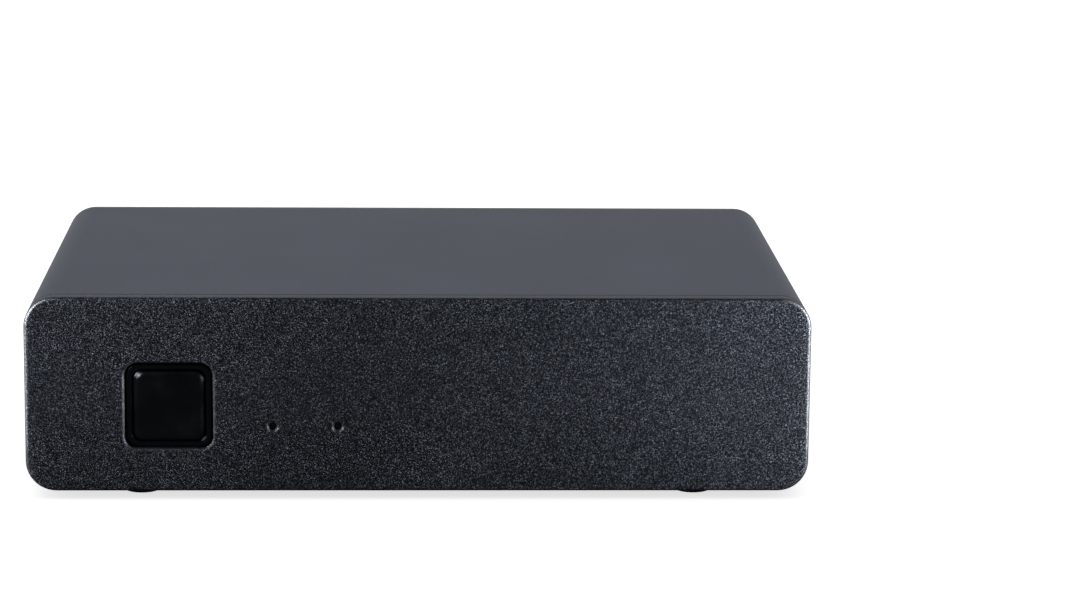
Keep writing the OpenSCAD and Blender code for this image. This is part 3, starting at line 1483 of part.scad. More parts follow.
sleeve();
front_panel();
rear_panel();
chassis();
foot(0);  // foot_front_left
foot(1);  // foot_front_right
foot(2);  // foot_rear_left
foot(3);  // foot_rear_right
foot_screws();
case_screws();
front_panel_screws();
button_bezel();
power_button();
tact_switch();
tact_plunger();
light_pipes();
front_leds();
infrared_receiver();
front_board();
front_board_screws();
front_cable();
front_cable_connectors();
main_board();
board_screws();
processor();
thermal_pad();
heat_sink();
heat_sink_pins();
memory_chips();
capacitors();
power_coils();
coin_cell();
cell_holder();
power_jack();
rocker_housing();
power_rocker();
rocker_leads();
phono_jack(coax_x, [0.85, 0.45, 0.1]);  // coaxial_jack
phono_jack(av_points[0], [0.85, 0.8, 0.2]);  // video_jack
phono_jack(av_points[1], [0.9, 0.9, 0.88]);  // left_audio_jack
phono_jack(av_points[2], [0.75, 0.1, 0.1]);  // right_audio_jack
hdmi_socket();
network_socket();
usb_sockets();
drive_cage();
tray_rails();
cage_spacers();
cage_screws();
thumb_nuts();
drive_board();
drive_board_screws();
drive_socket();
drive_cable();
drive_tray();
tray_face();
tray_face_screws();
retaining_clip(0);  // left_retaining_clip
retaining_clip(1);  // right_retaining_clip
thumbscrew(0);  // left_thumbscrew
thumbscrew(1);  // right_thumbscrew
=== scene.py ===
# The finishes and small fittings of a media player with a rear drive tray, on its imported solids.
# Metres, in the solids' own frame: X runs to the right seen from the front, Y to the back, Z up.

import json
import math

import bmesh
import bpy
from bpy.props import FloatProperty, FloatVectorProperty, IntProperty, PointerProperty
from bpy.types import Operator, Panel, PropertyGroup
from mathutils import Matrix, Vector


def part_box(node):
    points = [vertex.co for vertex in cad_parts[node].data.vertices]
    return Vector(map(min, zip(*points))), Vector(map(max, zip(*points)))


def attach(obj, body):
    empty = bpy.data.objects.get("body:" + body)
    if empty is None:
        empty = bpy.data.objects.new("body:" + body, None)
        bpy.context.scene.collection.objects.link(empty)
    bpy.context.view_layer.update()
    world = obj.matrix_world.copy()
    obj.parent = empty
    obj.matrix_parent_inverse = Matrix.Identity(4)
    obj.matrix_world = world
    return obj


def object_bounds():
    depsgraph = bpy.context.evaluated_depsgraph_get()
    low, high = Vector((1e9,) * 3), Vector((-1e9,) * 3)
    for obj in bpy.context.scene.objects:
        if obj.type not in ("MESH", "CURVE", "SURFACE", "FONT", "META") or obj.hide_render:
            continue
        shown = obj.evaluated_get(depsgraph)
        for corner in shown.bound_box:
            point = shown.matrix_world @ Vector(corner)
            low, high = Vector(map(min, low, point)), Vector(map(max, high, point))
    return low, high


bl_info = {
    "name": "Media Player Finishes",
    "version": (1, 0, 0),
    "blender": (4, 5, 0),
    "location": "3D View > Sidebar > Media Player",
    "description": "Finishes and small fittings for a media player with a rear drive tray",
    "category": "Object",
}

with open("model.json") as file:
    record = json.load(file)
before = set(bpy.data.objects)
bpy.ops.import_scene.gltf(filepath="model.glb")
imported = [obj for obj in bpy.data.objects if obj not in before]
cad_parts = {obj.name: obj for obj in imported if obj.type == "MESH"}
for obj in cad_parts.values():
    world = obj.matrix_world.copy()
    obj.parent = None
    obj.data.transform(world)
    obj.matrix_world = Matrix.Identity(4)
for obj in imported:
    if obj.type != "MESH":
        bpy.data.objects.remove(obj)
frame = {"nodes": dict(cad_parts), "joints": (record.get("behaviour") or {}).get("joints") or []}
SOLID_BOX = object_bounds()
MM = 0.001

# How far a fitted piece stands out of the solid that it wraps, so that no two faces share a place.
SKIN = 0.06 * MM

# Shader noise averages a half, and nearly all of it lies between these two.
NOISE_LOW, NOISE_HIGH = 0.3, 0.7

# The wide lamp overhead lights all. The others are seen only in the shine of the nodes named.
# Each has its width and its place in metres, and all point at the middle of the player.
TOP_LAMP = (2.2, (-0.2, 0.25, 1.7))
FRONT_NODES = ("front_panel", "power_button", "button_bezel", "light_pipes")
SHINE_LAMPS = (
    ("key", 0.6, (-0.9, -0.95, 0.8), ("power_button",)),
    ("left", 0.2, (-0.36, -0.36, 0.17), FRONT_NODES),
    ("right", 0.2, (0.34, -0.34, 0.045), FRONT_NODES),
)
LAMP_TARGET = (0.0, 0.0, 0.03)

# The floor is a disc. Its glow, on top of the lamps' light on it, makes it white to the camera.
FLOOR_RADIUS, FLOOR_SIDES, FLOOR_GLOW = 12.0, 64, 0.72

# The camera's place, and how far it is turned to the right, tipped down and rolled.
CAMERA_PLACE = Vector((-9.97, -1292.46, 310.74)) * MM
CAMERA_YAW, CAMERA_PITCH, CAMERA_ROLL = (math.radians(angle) for angle in (2.4082, 11.3869, 0.5906))


# ---------- colours ----------


def linear(channel):
    """A 0 to 255 screen value as the linear value that a shader takes."""
    part = channel / 255
    return part / 12.92 if part <= 0.04045 else ((part + 0.055) / 1.055) ** 2.4


def tint(red, green, blue):
    """A colour as it is read from a screen, 0 to 255, made linear."""
    return (linear(red), linear(green), linear(blue))


def colour(name, description, default):
    """A setting for a colour."""
    return FloatVectorProperty(
        name=name, description=description, default=default, subtype="COLOR", size=3, min=0.0, max=1.0)


def length(name, description, default, most):
    """A setting for a length in metres."""
    return FloatProperty(
        name=name, description=description, default=default, min=0.0, max=most, unit="LENGTH", precision=5)


def share(name, description, default):
    """A setting from 0 to 1."""
    return FloatProperty(
        name=name, description=description, default=default, min=0.0, max=1.0, subtype="FACTOR")


def power(name, description, default):
    """A setting for a lamp's power in watts."""
    return FloatProperty(name=name, description=description, default=default, min=0.0, subtype="POWER")


# ---------- settings ----------


class CaseSettings(PropertyGroup):
    """Finish of the sleeve, the front panel and the rear panel."""

    sleeve_colour: colour("Sleeve", "Satin anodised sleeve", tint(55, 60, 70))
    sleeve_rough: share("Sleeve roughness", "How much the sleeve blurs what it reflects", 0.5)
    front_dark: colour("Front, dark grains", "Darkest grains of the blasted front", tint(8, 9, 12))
    front_light: colour("Front, light grains", "Lightest grains of the blasted front", tint(90, 95, 104))
    front_rough: share("Front roughness", "How much the front blurs what it reflects", 0.42)
    grain: length("Front grain", "Size of the blasted grains", 0.46 * MM, 0.01)
    grain_depth: length("Front grain depth", "Depth of the blasted grains", 0.12 * MM, 0.002)
    rear_colour: colour("Rear panel", "Powder coat of the rear panel", tint(40, 41, 44))


class ControlSettings(PropertyGroup):
    """Finish of the power button, its ring and the indicators."""

    gloss_colour: colour("Button", "Gloss plastic of the button and its ring", tint(3, 3, 4))
    gloss_rough: share("Button roughness", "How much the gloss plastic blurs what it reflects", 0.18)
    pipe_colour: colour("Indicators", "Smoked clear plastic of the light pipes", tint(16, 17, 19))


class SocketSettings(PropertyGroup):
    """Finish and small parts of the rear sockets."""

    gold: colour("Contacts", "Gold plating of the contacts", tint(214, 170, 92))
    plated: colour("Shells", "Nickel plating of the socket shells", tint(196, 196, 198))
    coaxial: colour("Coaxial", "Insulator of the digital audio socket", tint(226, 112, 28))
    video: colour("Video", "Insulator of the video socket", tint(232, 196, 40))
    left_audio: colour("Left audio", "Insulator of the left audio socket", tint(228, 228, 222))
    right_audio: colour("Right audio", "Insulator of the right audio socket", tint(190, 28, 30))
    contact_t: length("Contact thickness", "Thickness of the sprung contacts", 0.25 * MM, 0.002)


class BaySettings(PropertyGroup):
    """Finish of the tray, its face, the cage and the thumbscrews."""

    zinc: colour("Zinc sheet", "Zinc-plated sheet of the tray and the cage", tint(176, 180, 182))
    moulding: colour("Tray face", "Moulded face of the tray", tint(28, 28, 30))
    nickel: colour("Thumbscrews", "Nickel plating of the thumbscrews", tint(190, 188, 184))


class InsideSettings(PropertyGroup):
    """Finish of the boards and of what stands on them."""

    mask: colour("Solder mask", "Solder mask of the boards", tint(18, 82, 46))
    copper: colour("Tracks", "Tracks under the solder mask", tint(44, 122, 66))
    track: length("Track width", "Width of the tracks on the boards", 0.5 * MM, 0.005)


class StageSettings(PropertyGroup):
    """Floor, light and camera."""

    floor_colour: colour("Floor", "Pale floor", (0.8, 0.8, 0.8))
    surround: share("Surround", "Light from all around, as matt surfaces take it", 0.5)
    front_surround: share("Front surround", "Dim side in front, as shiny surfaces show it", 0.2)
    top_power: power("Top lamp", "Power of the wide soft lamp overhead", 7.0)
    key_power: power("Key lamp", "Power of the lamp at the upper left that the gloss button shows", 470.0)
    left_power: power("Left lamp", "Power of the low left lamp that only the front's shine shows", 8.0)
    right_power: power("Right lamp", "Power of the low right lamp that only the front's shine shows", 8.0)
    lens: FloatProperty(name="Lens", description="Focal length", default=119.43, min=10.0, unit="CAMERA")


class MediaPlayerSettings(PropertyGroup):
    """All settings of the media player."""

    case: PointerProperty(type=CaseSettings)
    controls: PointerProperty(type=ControlSettings)
    sockets: PointerProperty(type=SocketSettings)
    bay: PointerProperty(type=BaySettings)
    inside: PointerProperty(type=InsideSettings)
    stage: PointerProperty(type=StageSettings)
    round_steps: IntProperty(
        name="Steps", description="Sides of a turned piece", default=48, min=12, max=128)


# ---------- materials ----------


class NodeTree:
    """The nodes of a material or a world, added one by one."""

    def __init__(self, tree):
        self.nodes = tree.nodes
        self.links = tree.links

    def feed(self, socket, value):
        """Links a socket to another one, or gives it a value."""
        if isinstance(value, bpy.types.NodeSocket):
            self.links.new(value, socket)
        else:
            socket.default_value = value

    def node(self, kind, output=0, inputs=(), **options):
        """One output of a new shader node whose inputs and options are given."""
        made = self.nodes.new("ShaderNode" + kind)
        for key, value in options.items():
            setattr(made, key, value)
        for key, value in dict(inputs).items():
            self.feed(made.inputs[key], value)
        return made.outputs[output]

    def maths(self, operation, first, second=0.0):
        return self.node("Math", inputs={0: first, 1: second}, operation=operation)

    def weighed(self, first, weight, second, other_weight):
        """Two values, each times its weight, added up."""
        return self.maths(
            "ADD", self.maths("MULTIPLY", first, weight), self.maths("MULTIPLY", second, other_weight))

    def away(self, value, middle):
        """How far a value lies from a middle, on either side."""
        return self.maths("ABSOLUTE", self.maths("SUBTRACT", value, middle))

    def hypotenuse(self, first, second):
        return self.maths("SQRT", self.weighed(first, first, second, second))

    def scaled(self, value, low, high, to_low=0.0, to_high=1.0):
        """A value from low to high, spread from to_low to to_high, and held there."""
        return self.node("MapRange", inputs={
            "Value": value, "From Min": low, "From Max": high, "To Min": to_low, "To Max": to_high})


class Finish(NodeTree):
    """A material whose places are read in metres in the solids' frame."""

    def __init__(self, name, base, metallic=0.0, roughness=0.5, **sockets):
        self.material = bpy.data.materials.new(name)
        self.material.use_nodes = True
        self.material.diffuse_color = (*base, 1.0)
        super().__init__(self.material.node_tree)
        self.shader = self.nodes["Principled BSDF"]
        self.set("Base Color", (*base, 1.0))
        self.set("Metallic", metallic)
        self.set("Roughness", roughness)
        for socket, value in sockets.items():
            self.set(socket.replace("_", " "), value)
        self.place = self.nodes.new("ShaderNodeTexCoord").outputs["Object"]

    def set(self, socket, value):
        """Feeds a socket of the material's own shader."""
        self.feed(self.shader.inputs[socket], value)

    def axis(self, name):
        """The place along X, Y or Z."""
        return self.node("SeparateXYZ", name, {0: self.place})

    def stretched(self, x, y, z):
        """The place, multiplied along each axis, so that noise becomes streaks."""
        return self.node("VectorMath", inputs={0: self.place, 1: (x, y, z)}, operation="MULTIPLY")

    def noise(self, size, detail=2.0, roughness=0.5, place=None):
        """Noise between 0 and 1 whose features are about size wide."""
        return self.node("TexNoise", inputs={
            "Vector": place or self.place, "Scale": 1 / size, "Detail": detail, "Roughness": roughness})

    def cells(self, size, output="Distance"):
        """Cells about size wide: the distance from their middles, or a colour for each."""
        return self.node("TexVoronoi", output, {"Vector": self.place, "Scale": 1 / size})

    def spread(self, noise, to_low=0.0, to_high=1.0):
        """Noise over its usual range, spread from to_low to to_high."""
        return self.scaled(noise, NOISE_LOW, NOISE_HIGH, to_low, to_high)

    def mixed(self, factor, first, second):
        """A colour between two, by a factor from 0 to 1."""
        made = self.nodes.new("ShaderNodeMix")
        made.data_type = "RGBA"
        self.feed(made.inputs[0], factor)
        for socket, value in ((made.inputs[6], first), (made.inputs[7], second)):
            self.feed(socket, value if isinstance(value, bpy.types.NodeSocket) else (*value, 1.0))
        return made.outputs[2]

    def toned(self, noise, base, low, high):
        """A base colour times low to high, as noise goes over its usual range."""
        return self.mixed(self.spread(noise), darker(base, low), darker(base, high))

    def bump(self, height, depth, under=None):
        """A normal that heights from 0 to 1 tilt, as deep as depth, on top of the one under it."""
        made = self.node("Bump", inputs={"Height": height, "Distance": depth, "Strength": 1.0})
        if under:
            self.links.new(under, made.node.inputs["Normal"])
        return made

    def soft_edges(self, radius):
        """A normal that turns smoothly over every edge, as a broken edge does."""
        return self.node("Bevel", inputs={"Radius": radius}, samples=4)

    def crowned(self, node, reach):
        """1 over the middle of an upright face, falling faster and faster within reach of its outline."""
        low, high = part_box(node)
        height = 1.0
        for axis, near, far, fall in (("X", low.x, high.x, 1.0), ("Z", low.z, high.z, 0.4)):
            half = (far - near) / 2
            turn = self.scaled(self.away(self.axis(axis), (near + far) / 2), half - reach, half)
            turn = self.maths("MULTIPLY", turn, self.maths("MULTIPLY", turn, fall))
            height = self.maths("SUBTRACT", height, turn)
        return height

    def painted_rim_highlight(self, heights):
        """A painted highlight on the front's rims, standing in for reflections of the lamps: how far high
        grains are painted light, mostly on the sides high up and near the ends, and a little on top.
        """
        facing = self.soft_edges(1.1 * MM)
        across = self.maths("ABSOLUTE", self.node("SeparateXYZ", "X", {0: facing}))
        ahead = self.maths("ABSOLUTE", self.node("SeparateXYZ", "Y", {0: facing}))
        upward = self.node("SeparateXYZ", "Z", {0: facing})
        turned = self.maths("MULTIPLY", across, self.scaled(ahead, 0.0, 0.97, 0.0, 2.0))
        risen = self.scaled(self.axis("Z"), 6 * MM, 30 * MM, 0.2, 1.0)
        outward = self.scaled(self.maths("ABSOLUTE", self.axis("X")), 104 * MM, 124 * MM, 0.3, 1.0)
        side_highlight = self.maths("MULTIPLY", turned, self.maths("MULTIPLY", risen, outward))
        top_highlight = self.scaled(upward, 0.8, 1.0, 0.0, 0.3)
        highlight_specks = self.scaled(heights, 0.35, 0.65, 0.15, 1.0)
        return self.maths("MULTIPLY", self.maths("MAXIMUM", side_highlight, top_highlight), highlight_specks)

    def around_y(self, x, z):
        """Distance from an axis that runs along Y through (x, z)."""
        return self.hypotenuse(
            self.maths("SUBTRACT", self.axis("X"), x), self.maths("SUBTRACT", self.axis("Z"), z))


def darker(base, amount):
    """A colour times an amount, darker below 1 and lighter above it."""
    return tuple(channel * amount for channel in base)


def satin_metal(name, base, roughness):
    """Fine matt anodising: a silky speck, faint soft clouds and broken edges."""
    finish = Finish(
        name, base, metallic=0.3, Specular_Tint=(0.32, 0.36, 0.44, 1.0), Specular_IOR_Level=0.2)
    clouds = finish.spread(finish.noise(45 * MM, detail=3.0), 0.46, 0.54)
    specks = finish.noise(0.7 * MM, detail=2.0)
    tone = finish.maths("ADD", finish.maths("SUBTRACT", specks, 0.5), clouds)
    finish.set("Base Color", finish.toned(tone, base, 0.55, 1.45))
    finish.set("Roughness", finish.spread(specks, roughness - 0.05, roughness + 0.07))
    finish.set("Normal", finish.bump(specks, 0.012 * MM, finish.soft_edges(0.25 * MM)))
    return finish.material


def blasted_metal(name, dark, light, roughness, grain, depth):
    """Coarse blasted and anodised: sharp lumps about a grain wide, the crests of some of them bright."""
    finish = Finish(
        name, dark, metallic=0.85, Specular_Tint=(0.48, 0.5, 0.54, 1.0), Specular_IOR_Level=0.15)
    lumps = finish.noise(grain, detail=2.0, roughness=0.55)
    grit = finish.noise(grain * 0.5, detail=1.0)
    clouds = finish.noise(60 * MM, detail=2.0)
    patches = finish.noise(3 * MM, detail=1.0)
    heights = finish.weighed(lumps, 0.6, grit, 0.4)
    crests = finish.maths("POWER", finish.scaled(heights, 0.43, 0.73), 2.8)
    clouded = finish.maths(
        "MULTIPLY", finish.spread(clouds, 0.85, 1.15), finish.spread(patches, 0.8, 1.2))
    grains = finish.mixed(finish.maths("MULTIPLY", crests, clouded), dark, light)
    # Painted highlight: light specks along the side rims and the top edge of the front stand in for the
    # lamps' reflections there.
    rim_highlight_colour = tint(128, 131, 136)
    finish.set("Base Color", finish.mixed(finish.painted_rim_highlight(heights), grains, rim_highlight_colour))
    finish.set("Roughness", finish.scaled(grit, 0.35, 0.7, roughness - 0.12, roughness + 0.15))
    crown = finish.crowned("front_panel", 4 * MM)
    crown = finish.bump(crown, 0.3 * MM, finish.soft_edges(0.3 * MM))
    finish.set("Normal", finish.bump(heights, depth, crown))
    return finish.material


def powder_coat(name, base, grain=0.6 * MM):
    """Baked powder: a fine orange peel, with painted shade that darkens its valleys."""
    finish = Finish(name, base)
    peel = finish.noise(grain, detail=2.0, roughness=0.6)
    clouds = finish.noise(30 * MM, detail=3.0)
    # Painted shade in the peel's valleys, mixed with a random cloudy tone.
    tone = finish.scaled(finish.weighed(clouds, 0.5, peel, 0.5), 0.36, 0.64)
    finish.set("Base Color", finish.mixed(tone, darker(base, 0.6), darker(base, 1.4)))
    finish.set("Roughness", finish.spread(peel, 0.36, 0.56))
    finish.set("Normal", finish.bump(peel, 0.12 * MM, finish.soft_edges(0.2 * MM)))
    return finish.material


def rolled_metal(name, base, roughness=0.34):
    """Plated sheet: rolling marks along Y, a faint spangle and smeared spots."""
    finish = Finish(name, base, metallic=1.0)
    streaks = finish.noise(0.22 * MM, detail=3.0, place=finish.stretched(1.0, 0.02, 1.0))
    spangle = finish.node("RGBToBW", inputs={0: finish.cells(7 * MM, "Color")})
    smears = finish.noise(24 * MM, detail=4.0)
    finish.set("Base Color", finish.toned(finish.weighed(spangle, 0.35, smears, 0.65), base, 0.84, 1.08))
    uneven = finish.maths("ADD", finish.maths("MULTIPLY", streaks, 0.3), smears)
    finish.set("Roughness", finish.scaled(uneven, 0.45, 0.85, roughness - 0.06, roughness + 0.12))
    finish.set("Normal", finish.bump(streaks, 0.002 * MM, finish.soft_edges(0.12 * MM)))
    return finish.material


def turned_metal(name, base, roughness=0.26):
    """Plated turned metal: a fine tooth from the tool, and handling marks."""
    finish = Finish(name, base, metallic=1.0)
    marks = finish.noise(2.2 * MM, detail=5.0, roughness=0.6)
    tooth = finish.noise(0.2 * MM, detail=2.0)
    finish.set("Base Color", finish.toned(marks, base, 0.82, 1.06))
    finish.set("Roughness", finish.spread(marks, roughness - 0.08, roughness + 0.14))
    finish.set("Normal", finish.bump(tooth, 0.006 * MM, finish.soft_edges(0.1 * MM)))
    return finish.material


def moulded_plastic(name, base, roughness, grain=0.3 * MM, depth=0.03 * MM, edge=0.15 * MM):
    """Moulded plastic with an eroded grain, a little uneven in colour and shine."""
    finish = Finish(name, base)
    pits = finish.noise(grain, detail=2.0, roughness=0.6)
    clouds = finish.noise(14 * MM, detail=3.0)
    finish.set("Base Color", finish.toned(clouds, base, 0.88, 1.1))
    finish.set("Roughness", finish.spread(clouds, roughness - 0.06, roughness + 0.08))
    finish.set("Normal", finish.bump(pits, depth, finish.soft_edges(edge)))
    return finish.material


def rubber(name, base):
    """Moulded rubber: matt, with dust caught in its pores."""
    finish = Finish(name, base, Specular_IOR_Level=0.3)
    pores = finish.noise(0.4 * MM, detail=3.0, roughness=0.7)
    dust = finish.noise(5 * MM, detail=5.0, roughness=0.7)
    finish.set("Base Color", finish.mixed(finish.scaled(dust, 0.45, 0.75), base, tint(44, 43, 42)))
    finish.set("Roughness", finish.spread(dust, 0.7, 0.9))
    finish.set("Normal", finish.bump(pores, 0.05 * MM, finish.soft_edges(0.3 * MM)))
    return finish.material


def gloss_plastic(name, base, roughness, edge):
    """High gloss: almost a mirror, with the faint sweep of polishing and a little dust."""
    finish = Finish(name, base, Specular_Tint=(0.08, 0.09, 0.104, 1.0))
    sweep = finish.noise(9 * MM, detail=2.0)
    dust = finish.noise(0.35 * MM, detail=1.0)
    finish.set("Base Color", finish.mixed(finish.scaled(dust, 0.72, 0.8), base, tint(26, 27, 30)))
    finish.set("Roughness", finish.spread(sweep, roughness * 0.6, roughness * 1.4))
    finish.set("Normal", finish.bump(sweep, 0.01 * MM, finish.soft_edges(edge)))
    return finish.material


def clear_plastic(name, base, shine=1.0):
    """Clear moulding with a faint haze and flow lines."""
    finish = Finish(
        name, base, IOR=1.49, Transmission_Weight=0.85, Specular_Tint=(shine, shine, shine, 1.0))
    flow = finish.noise(1.4 * MM, detail=3.0)
    finish.set("Roughness", finish.spread(flow, 0.08, 0.3))
    finish.set("Normal", finish.bump(flow, 0.02 * MM))
    return finish.material


def circuit_board(name, mask, copper, track):
    """Solder mask over tracks that run along X in some areas and along Y in others, with tinned vias."""
    finish = Finish(name, mask, roughness=0.32)
    pitch = track * 4
    ways = []
    for axis in ("X", "Y"):
        step = finish.maths("PINGPONG", finish.axis(axis), pitch / 2)
        line = finish.maths("LESS_THAN", step, track / 2)
        ways.append(finish.node("CombineXYZ", inputs={0: line, 1: line, 2: line}))
    area = finish.node("RGBToBW", inputs={0: finish.cells(14 * MM, "Color")})
    lines = finish.mixed(finish.maths("GREATER_THAN", area, 0.5), *ways)
    tracks = finish.node("RGBToBW", inputs={0: lines})
    via_pitch, via_size = 5 * MM, 0.09
    vias = finish.maths("LESS_THAN", finish.cells(via_pitch), via_size)
    green = finish.mixed(tracks, mask, copper)
    tinned = tint(196, 200, 196)
    finish.set("Base Color", finish.mixed(vias, green, tinned))
    finish.set("Metallic", finish.maths("MULTIPLY", vias, 0.9))
    finish.set("Normal", finish.bump(tracks, 0.03 * MM))
    return finish.material


def phono_finish(name, insulator, metal, node):
    """One socket: a coloured block and insulator, with a plated shell where it stands out."""
    low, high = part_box(node)
    shell_length, insulator_r, axis_below_top = 8.45 * MM, 3.3 * MM, 6 * MM
    finish = Finish(name, insulator)
    radius = finish.around_y((low.x + high.x) / 2, high.z - axis_below_top)
    out = finish.maths("GREATER_THAN", finish.axis("Y"), high.y - shell_length)
    plated = finish.maths("MULTIPLY", out, finish.maths("GREATER_THAN", radius, insulator_r))
    scuffs = finish.noise(1.5 * MM, detail=5.0, roughness=0.65)
    finish.set("Base Color", finish.mixed(
        plated, finish.toned(scuffs, insulator, 0.9, 1.08), finish.toned(scuffs, metal, 0.85, 1.08)))
    finish.set("Metallic", plated)
    finish.set("Roughness", finish.spread(scuffs, 0.24, 0.4))
    finish.set("Normal", finish.bump(scuffs, 0.01 * MM, finish.soft_edges(0.15 * MM)))
    return finish.material


def lined_shell(name, metal, lining, node):
    """A plated shell whose mouth is lined with moulded plastic, up to a thin rim."""
    low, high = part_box(node)
    mouth_w, rim = 12.6 * MM, 0.3 * MM
    floor, roof = low.z + 1.4 * MM, low.z + 12.5 * MM
    finish = Finish(name, metal)
    across = finish.away(finish.axis("X"), (low.x + high.x) / 2)
    within = finish.maths("LESS_THAN", across, mouth_w / 2)
    for axis, check, limit in (
        ("Z", "GREATER_THAN", floor), ("Z", "LESS_THAN", roof), ("Y", "LESS_THAN", high.y - rim),
    ):
        within = finish.maths("MULTIPLY", within, finish.maths(check, finish.axis(axis), limit))
    scuffs = finish.noise(1.8 * MM, detail=5.0, roughness=0.65)
    finish.set("Base Color", finish.mixed(
        within, finish.toned(scuffs, metal, 0.85, 1.06), finish.toned(scuffs, lining, 0.85, 1.2)))
    finish.set("Metallic", finish.maths("SUBTRACT", 1.0, within))
    finish.set("Roughness", finish.spread(scuffs, 0.24, 0.4))
    finish.set("Normal", finish.bump(scuffs, 0.01 * MM, finish.soft_edges(0.12 * MM)))
    return finish.material


def wear(material, *nodes):
    """Gives CAD nodes a material, in every slot that they have."""
    for name in nodes:
        slots = frame["nodes"][name].data.materials
        slots.clear()
        slots.append(material)


# ---------- mesh helpers ----------


def piece(name, mesh, material, body, smooth=False):
    """A mesh made into a piece that rides on a body."""
    mesh.normal_update()
    data = bpy.data.meshes.new(name)
    mesh.to_mesh(data)
    mesh.free()
    for face in data.polygons:
        face.use_smooth = smooth
    data.materials.append(material)
    made = bpy.data.objects.new(name, data)
    bpy.context.scene.collection.objects.link(made)
    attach(made, body)


def add_block(mesh, low, high, broken):
    """A block from low to high whose edges are broken by a radius."""
    corners = bmesh.ops.create_cube(mesh, size=1.0)["verts"]
    size = Vector(high) - Vector(low)
    middle = (Vector(high) + Vector(low)) / 2
    for corner in corners:
        corner.co = Vector(a * b for a, b in zip(corner.co, size)) + middle
    edges = list(dict.fromkeys(edge for corner in corners for edge in corner.link_edges))
    bmesh.ops.bevel(mesh, geom=edges, offset=broken, segments=2, affect="EDGES", profile=0.5)


def add_strip(mesh, path, x, width, thickness):
    """A bent metal strip: path is its middle line as (y, z), and x its middle across."""
    rings = []
    for i, point in enumerate(path):
        before, after = path[max(i - 1, 0)], path[min(i + 1, len(path) - 1)]
        along = (Vector(after) - Vector(before)).normalized()
        side = Vector((-along.y, along.x)) * thickness / 2
        ring = []
        for across, sign in ((-1, 1), (1, 1), (1, -1), (-1, -1)):
            corner = Vector(point) + side * sign
            ring.append(mesh.verts.new((x + across * width / 2, corner.x, corner.y)))
        rings.append(ring)
    for first, second in zip(rings, rings[1:]):
        for i in range(4):
            mesh.faces.new((first[i], first[(i + 1) % 4], second[(i + 1) % 4], second[i]))
    mesh.faces.new(rings[0][::-1])
    mesh.faces.new(rings[-1])


def add_turned(mesh, profile, centre, steps):
    """A closed profile of (radius, y) turned about the axis along Y through centre, an (x, z)."""
    rings = []
    for i in range(steps):
        angle = 2 * math.pi * i / steps
        rings.append([
            mesh.verts.new((centre[0] + r * math.cos(angle), y, centre[1] + r * math.sin(angle)))
            for r, y in profile])
    count = len(profile)
    for i, ring in enumerate(rings):
        following = rings[(i + 1) % steps]
        for k in range(count):
            mesh.faces.new((ring[k], ring[(k + 1) % count], following[(k + 1) % count], following[k]))


def rounded(middle, radius, start, steps):
    """A quarter of a circle, from an angle on, as points round a middle."""
    angles = (start + math.pi / 2 * i / steps for i in range(steps + 1))
    return [(middle[0] + radius * math.cos(a), middle[1] + radius * math.sin(a)) for a in angles]


def rounded_ring(inner, outer, front, rear, edge):
    """The profile of a flat ring whose rear edges are rounded, as (radius, y)."""
    return [(inner, front), (outer, front),
            *rounded((outer - edge, rear - edge), edge, 0.0, 4),
            *rounded((inner + edge, rear - edge), edge, math.pi / 2, 4)]


# ---------- operators ----------


class PieceOperator(Operator):
    """What the piece operators share."""

    bl_options = {"REGISTER"}

    def settings(self, context):
        return context.scene.media_player


class MEDIAPLAYER_OT_case(PieceOperator):
    """Finish the sleeve, the front panel, the rear panel and the case screws"""

    bl_idname = "mediaplayer.case"
    bl_label = "Case"

    def execute(self, context):
        case = self.settings(context).case
        wear(satin_metal("Satin_anodised", tuple(case.sleeve_colour), case.sleeve_rough), "sleeve")
        blasted = blasted_metal(
            "Blasted_anodised", tuple(case.front_dark), tuple(case.front_light),
            case.front_rough, case.grain, case.grain_depth)
        wear(blasted, "front_panel")
        rear = tuple(case.rear_colour)
        wear(powder_coat("Black_powder_coat", rear), "rear_panel")
        wear(powder_coat("Black_oxide", darker(rear, 0.6), grain=0.25 * MM), "case_screws")
        return {"FINISHED"}


class MEDIAPLAYER_OT_feet(PieceOperator):
    """Finish the rubber feet"""

    bl_idname = "mediaplayer.feet"
    bl_label = "Feet"

    def execute(self, context):
        wear(rubber("Foot_rubber", tint(20, 20, 21)),
             "foot_front_left", "foot_front_right", "foot_rear_left", "foot_rear_right")
        return {"FINISHED"}


class MEDIAPLAYER_OT_controls(PieceOperator):
    """Finish the power button, its ring and the indicators"""

    bl_idname = "mediaplayer.controls"
    bl_label = "Button and indicators"

    def execute(self, context):
        controls = self.settings(context).controls
        gloss = tuple(controls.gloss_colour)
        wear(gloss_plastic("Gloss_black", gloss, controls.gloss_rough, 2.4 * MM), "power_button")
        wear(gloss_plastic("Gloss_black_ring", gloss, controls.gloss_rough, 0.9 * MM), "button_bezel")
        wear(clear_plastic("Smoked_pipe", tuple(controls.pipe_colour), 0.1), "light_pipes")
        wear(clear_plastic("Clear_epoxy", tint(225, 230, 238)), "front_leds")
        return {"FINISHED"}


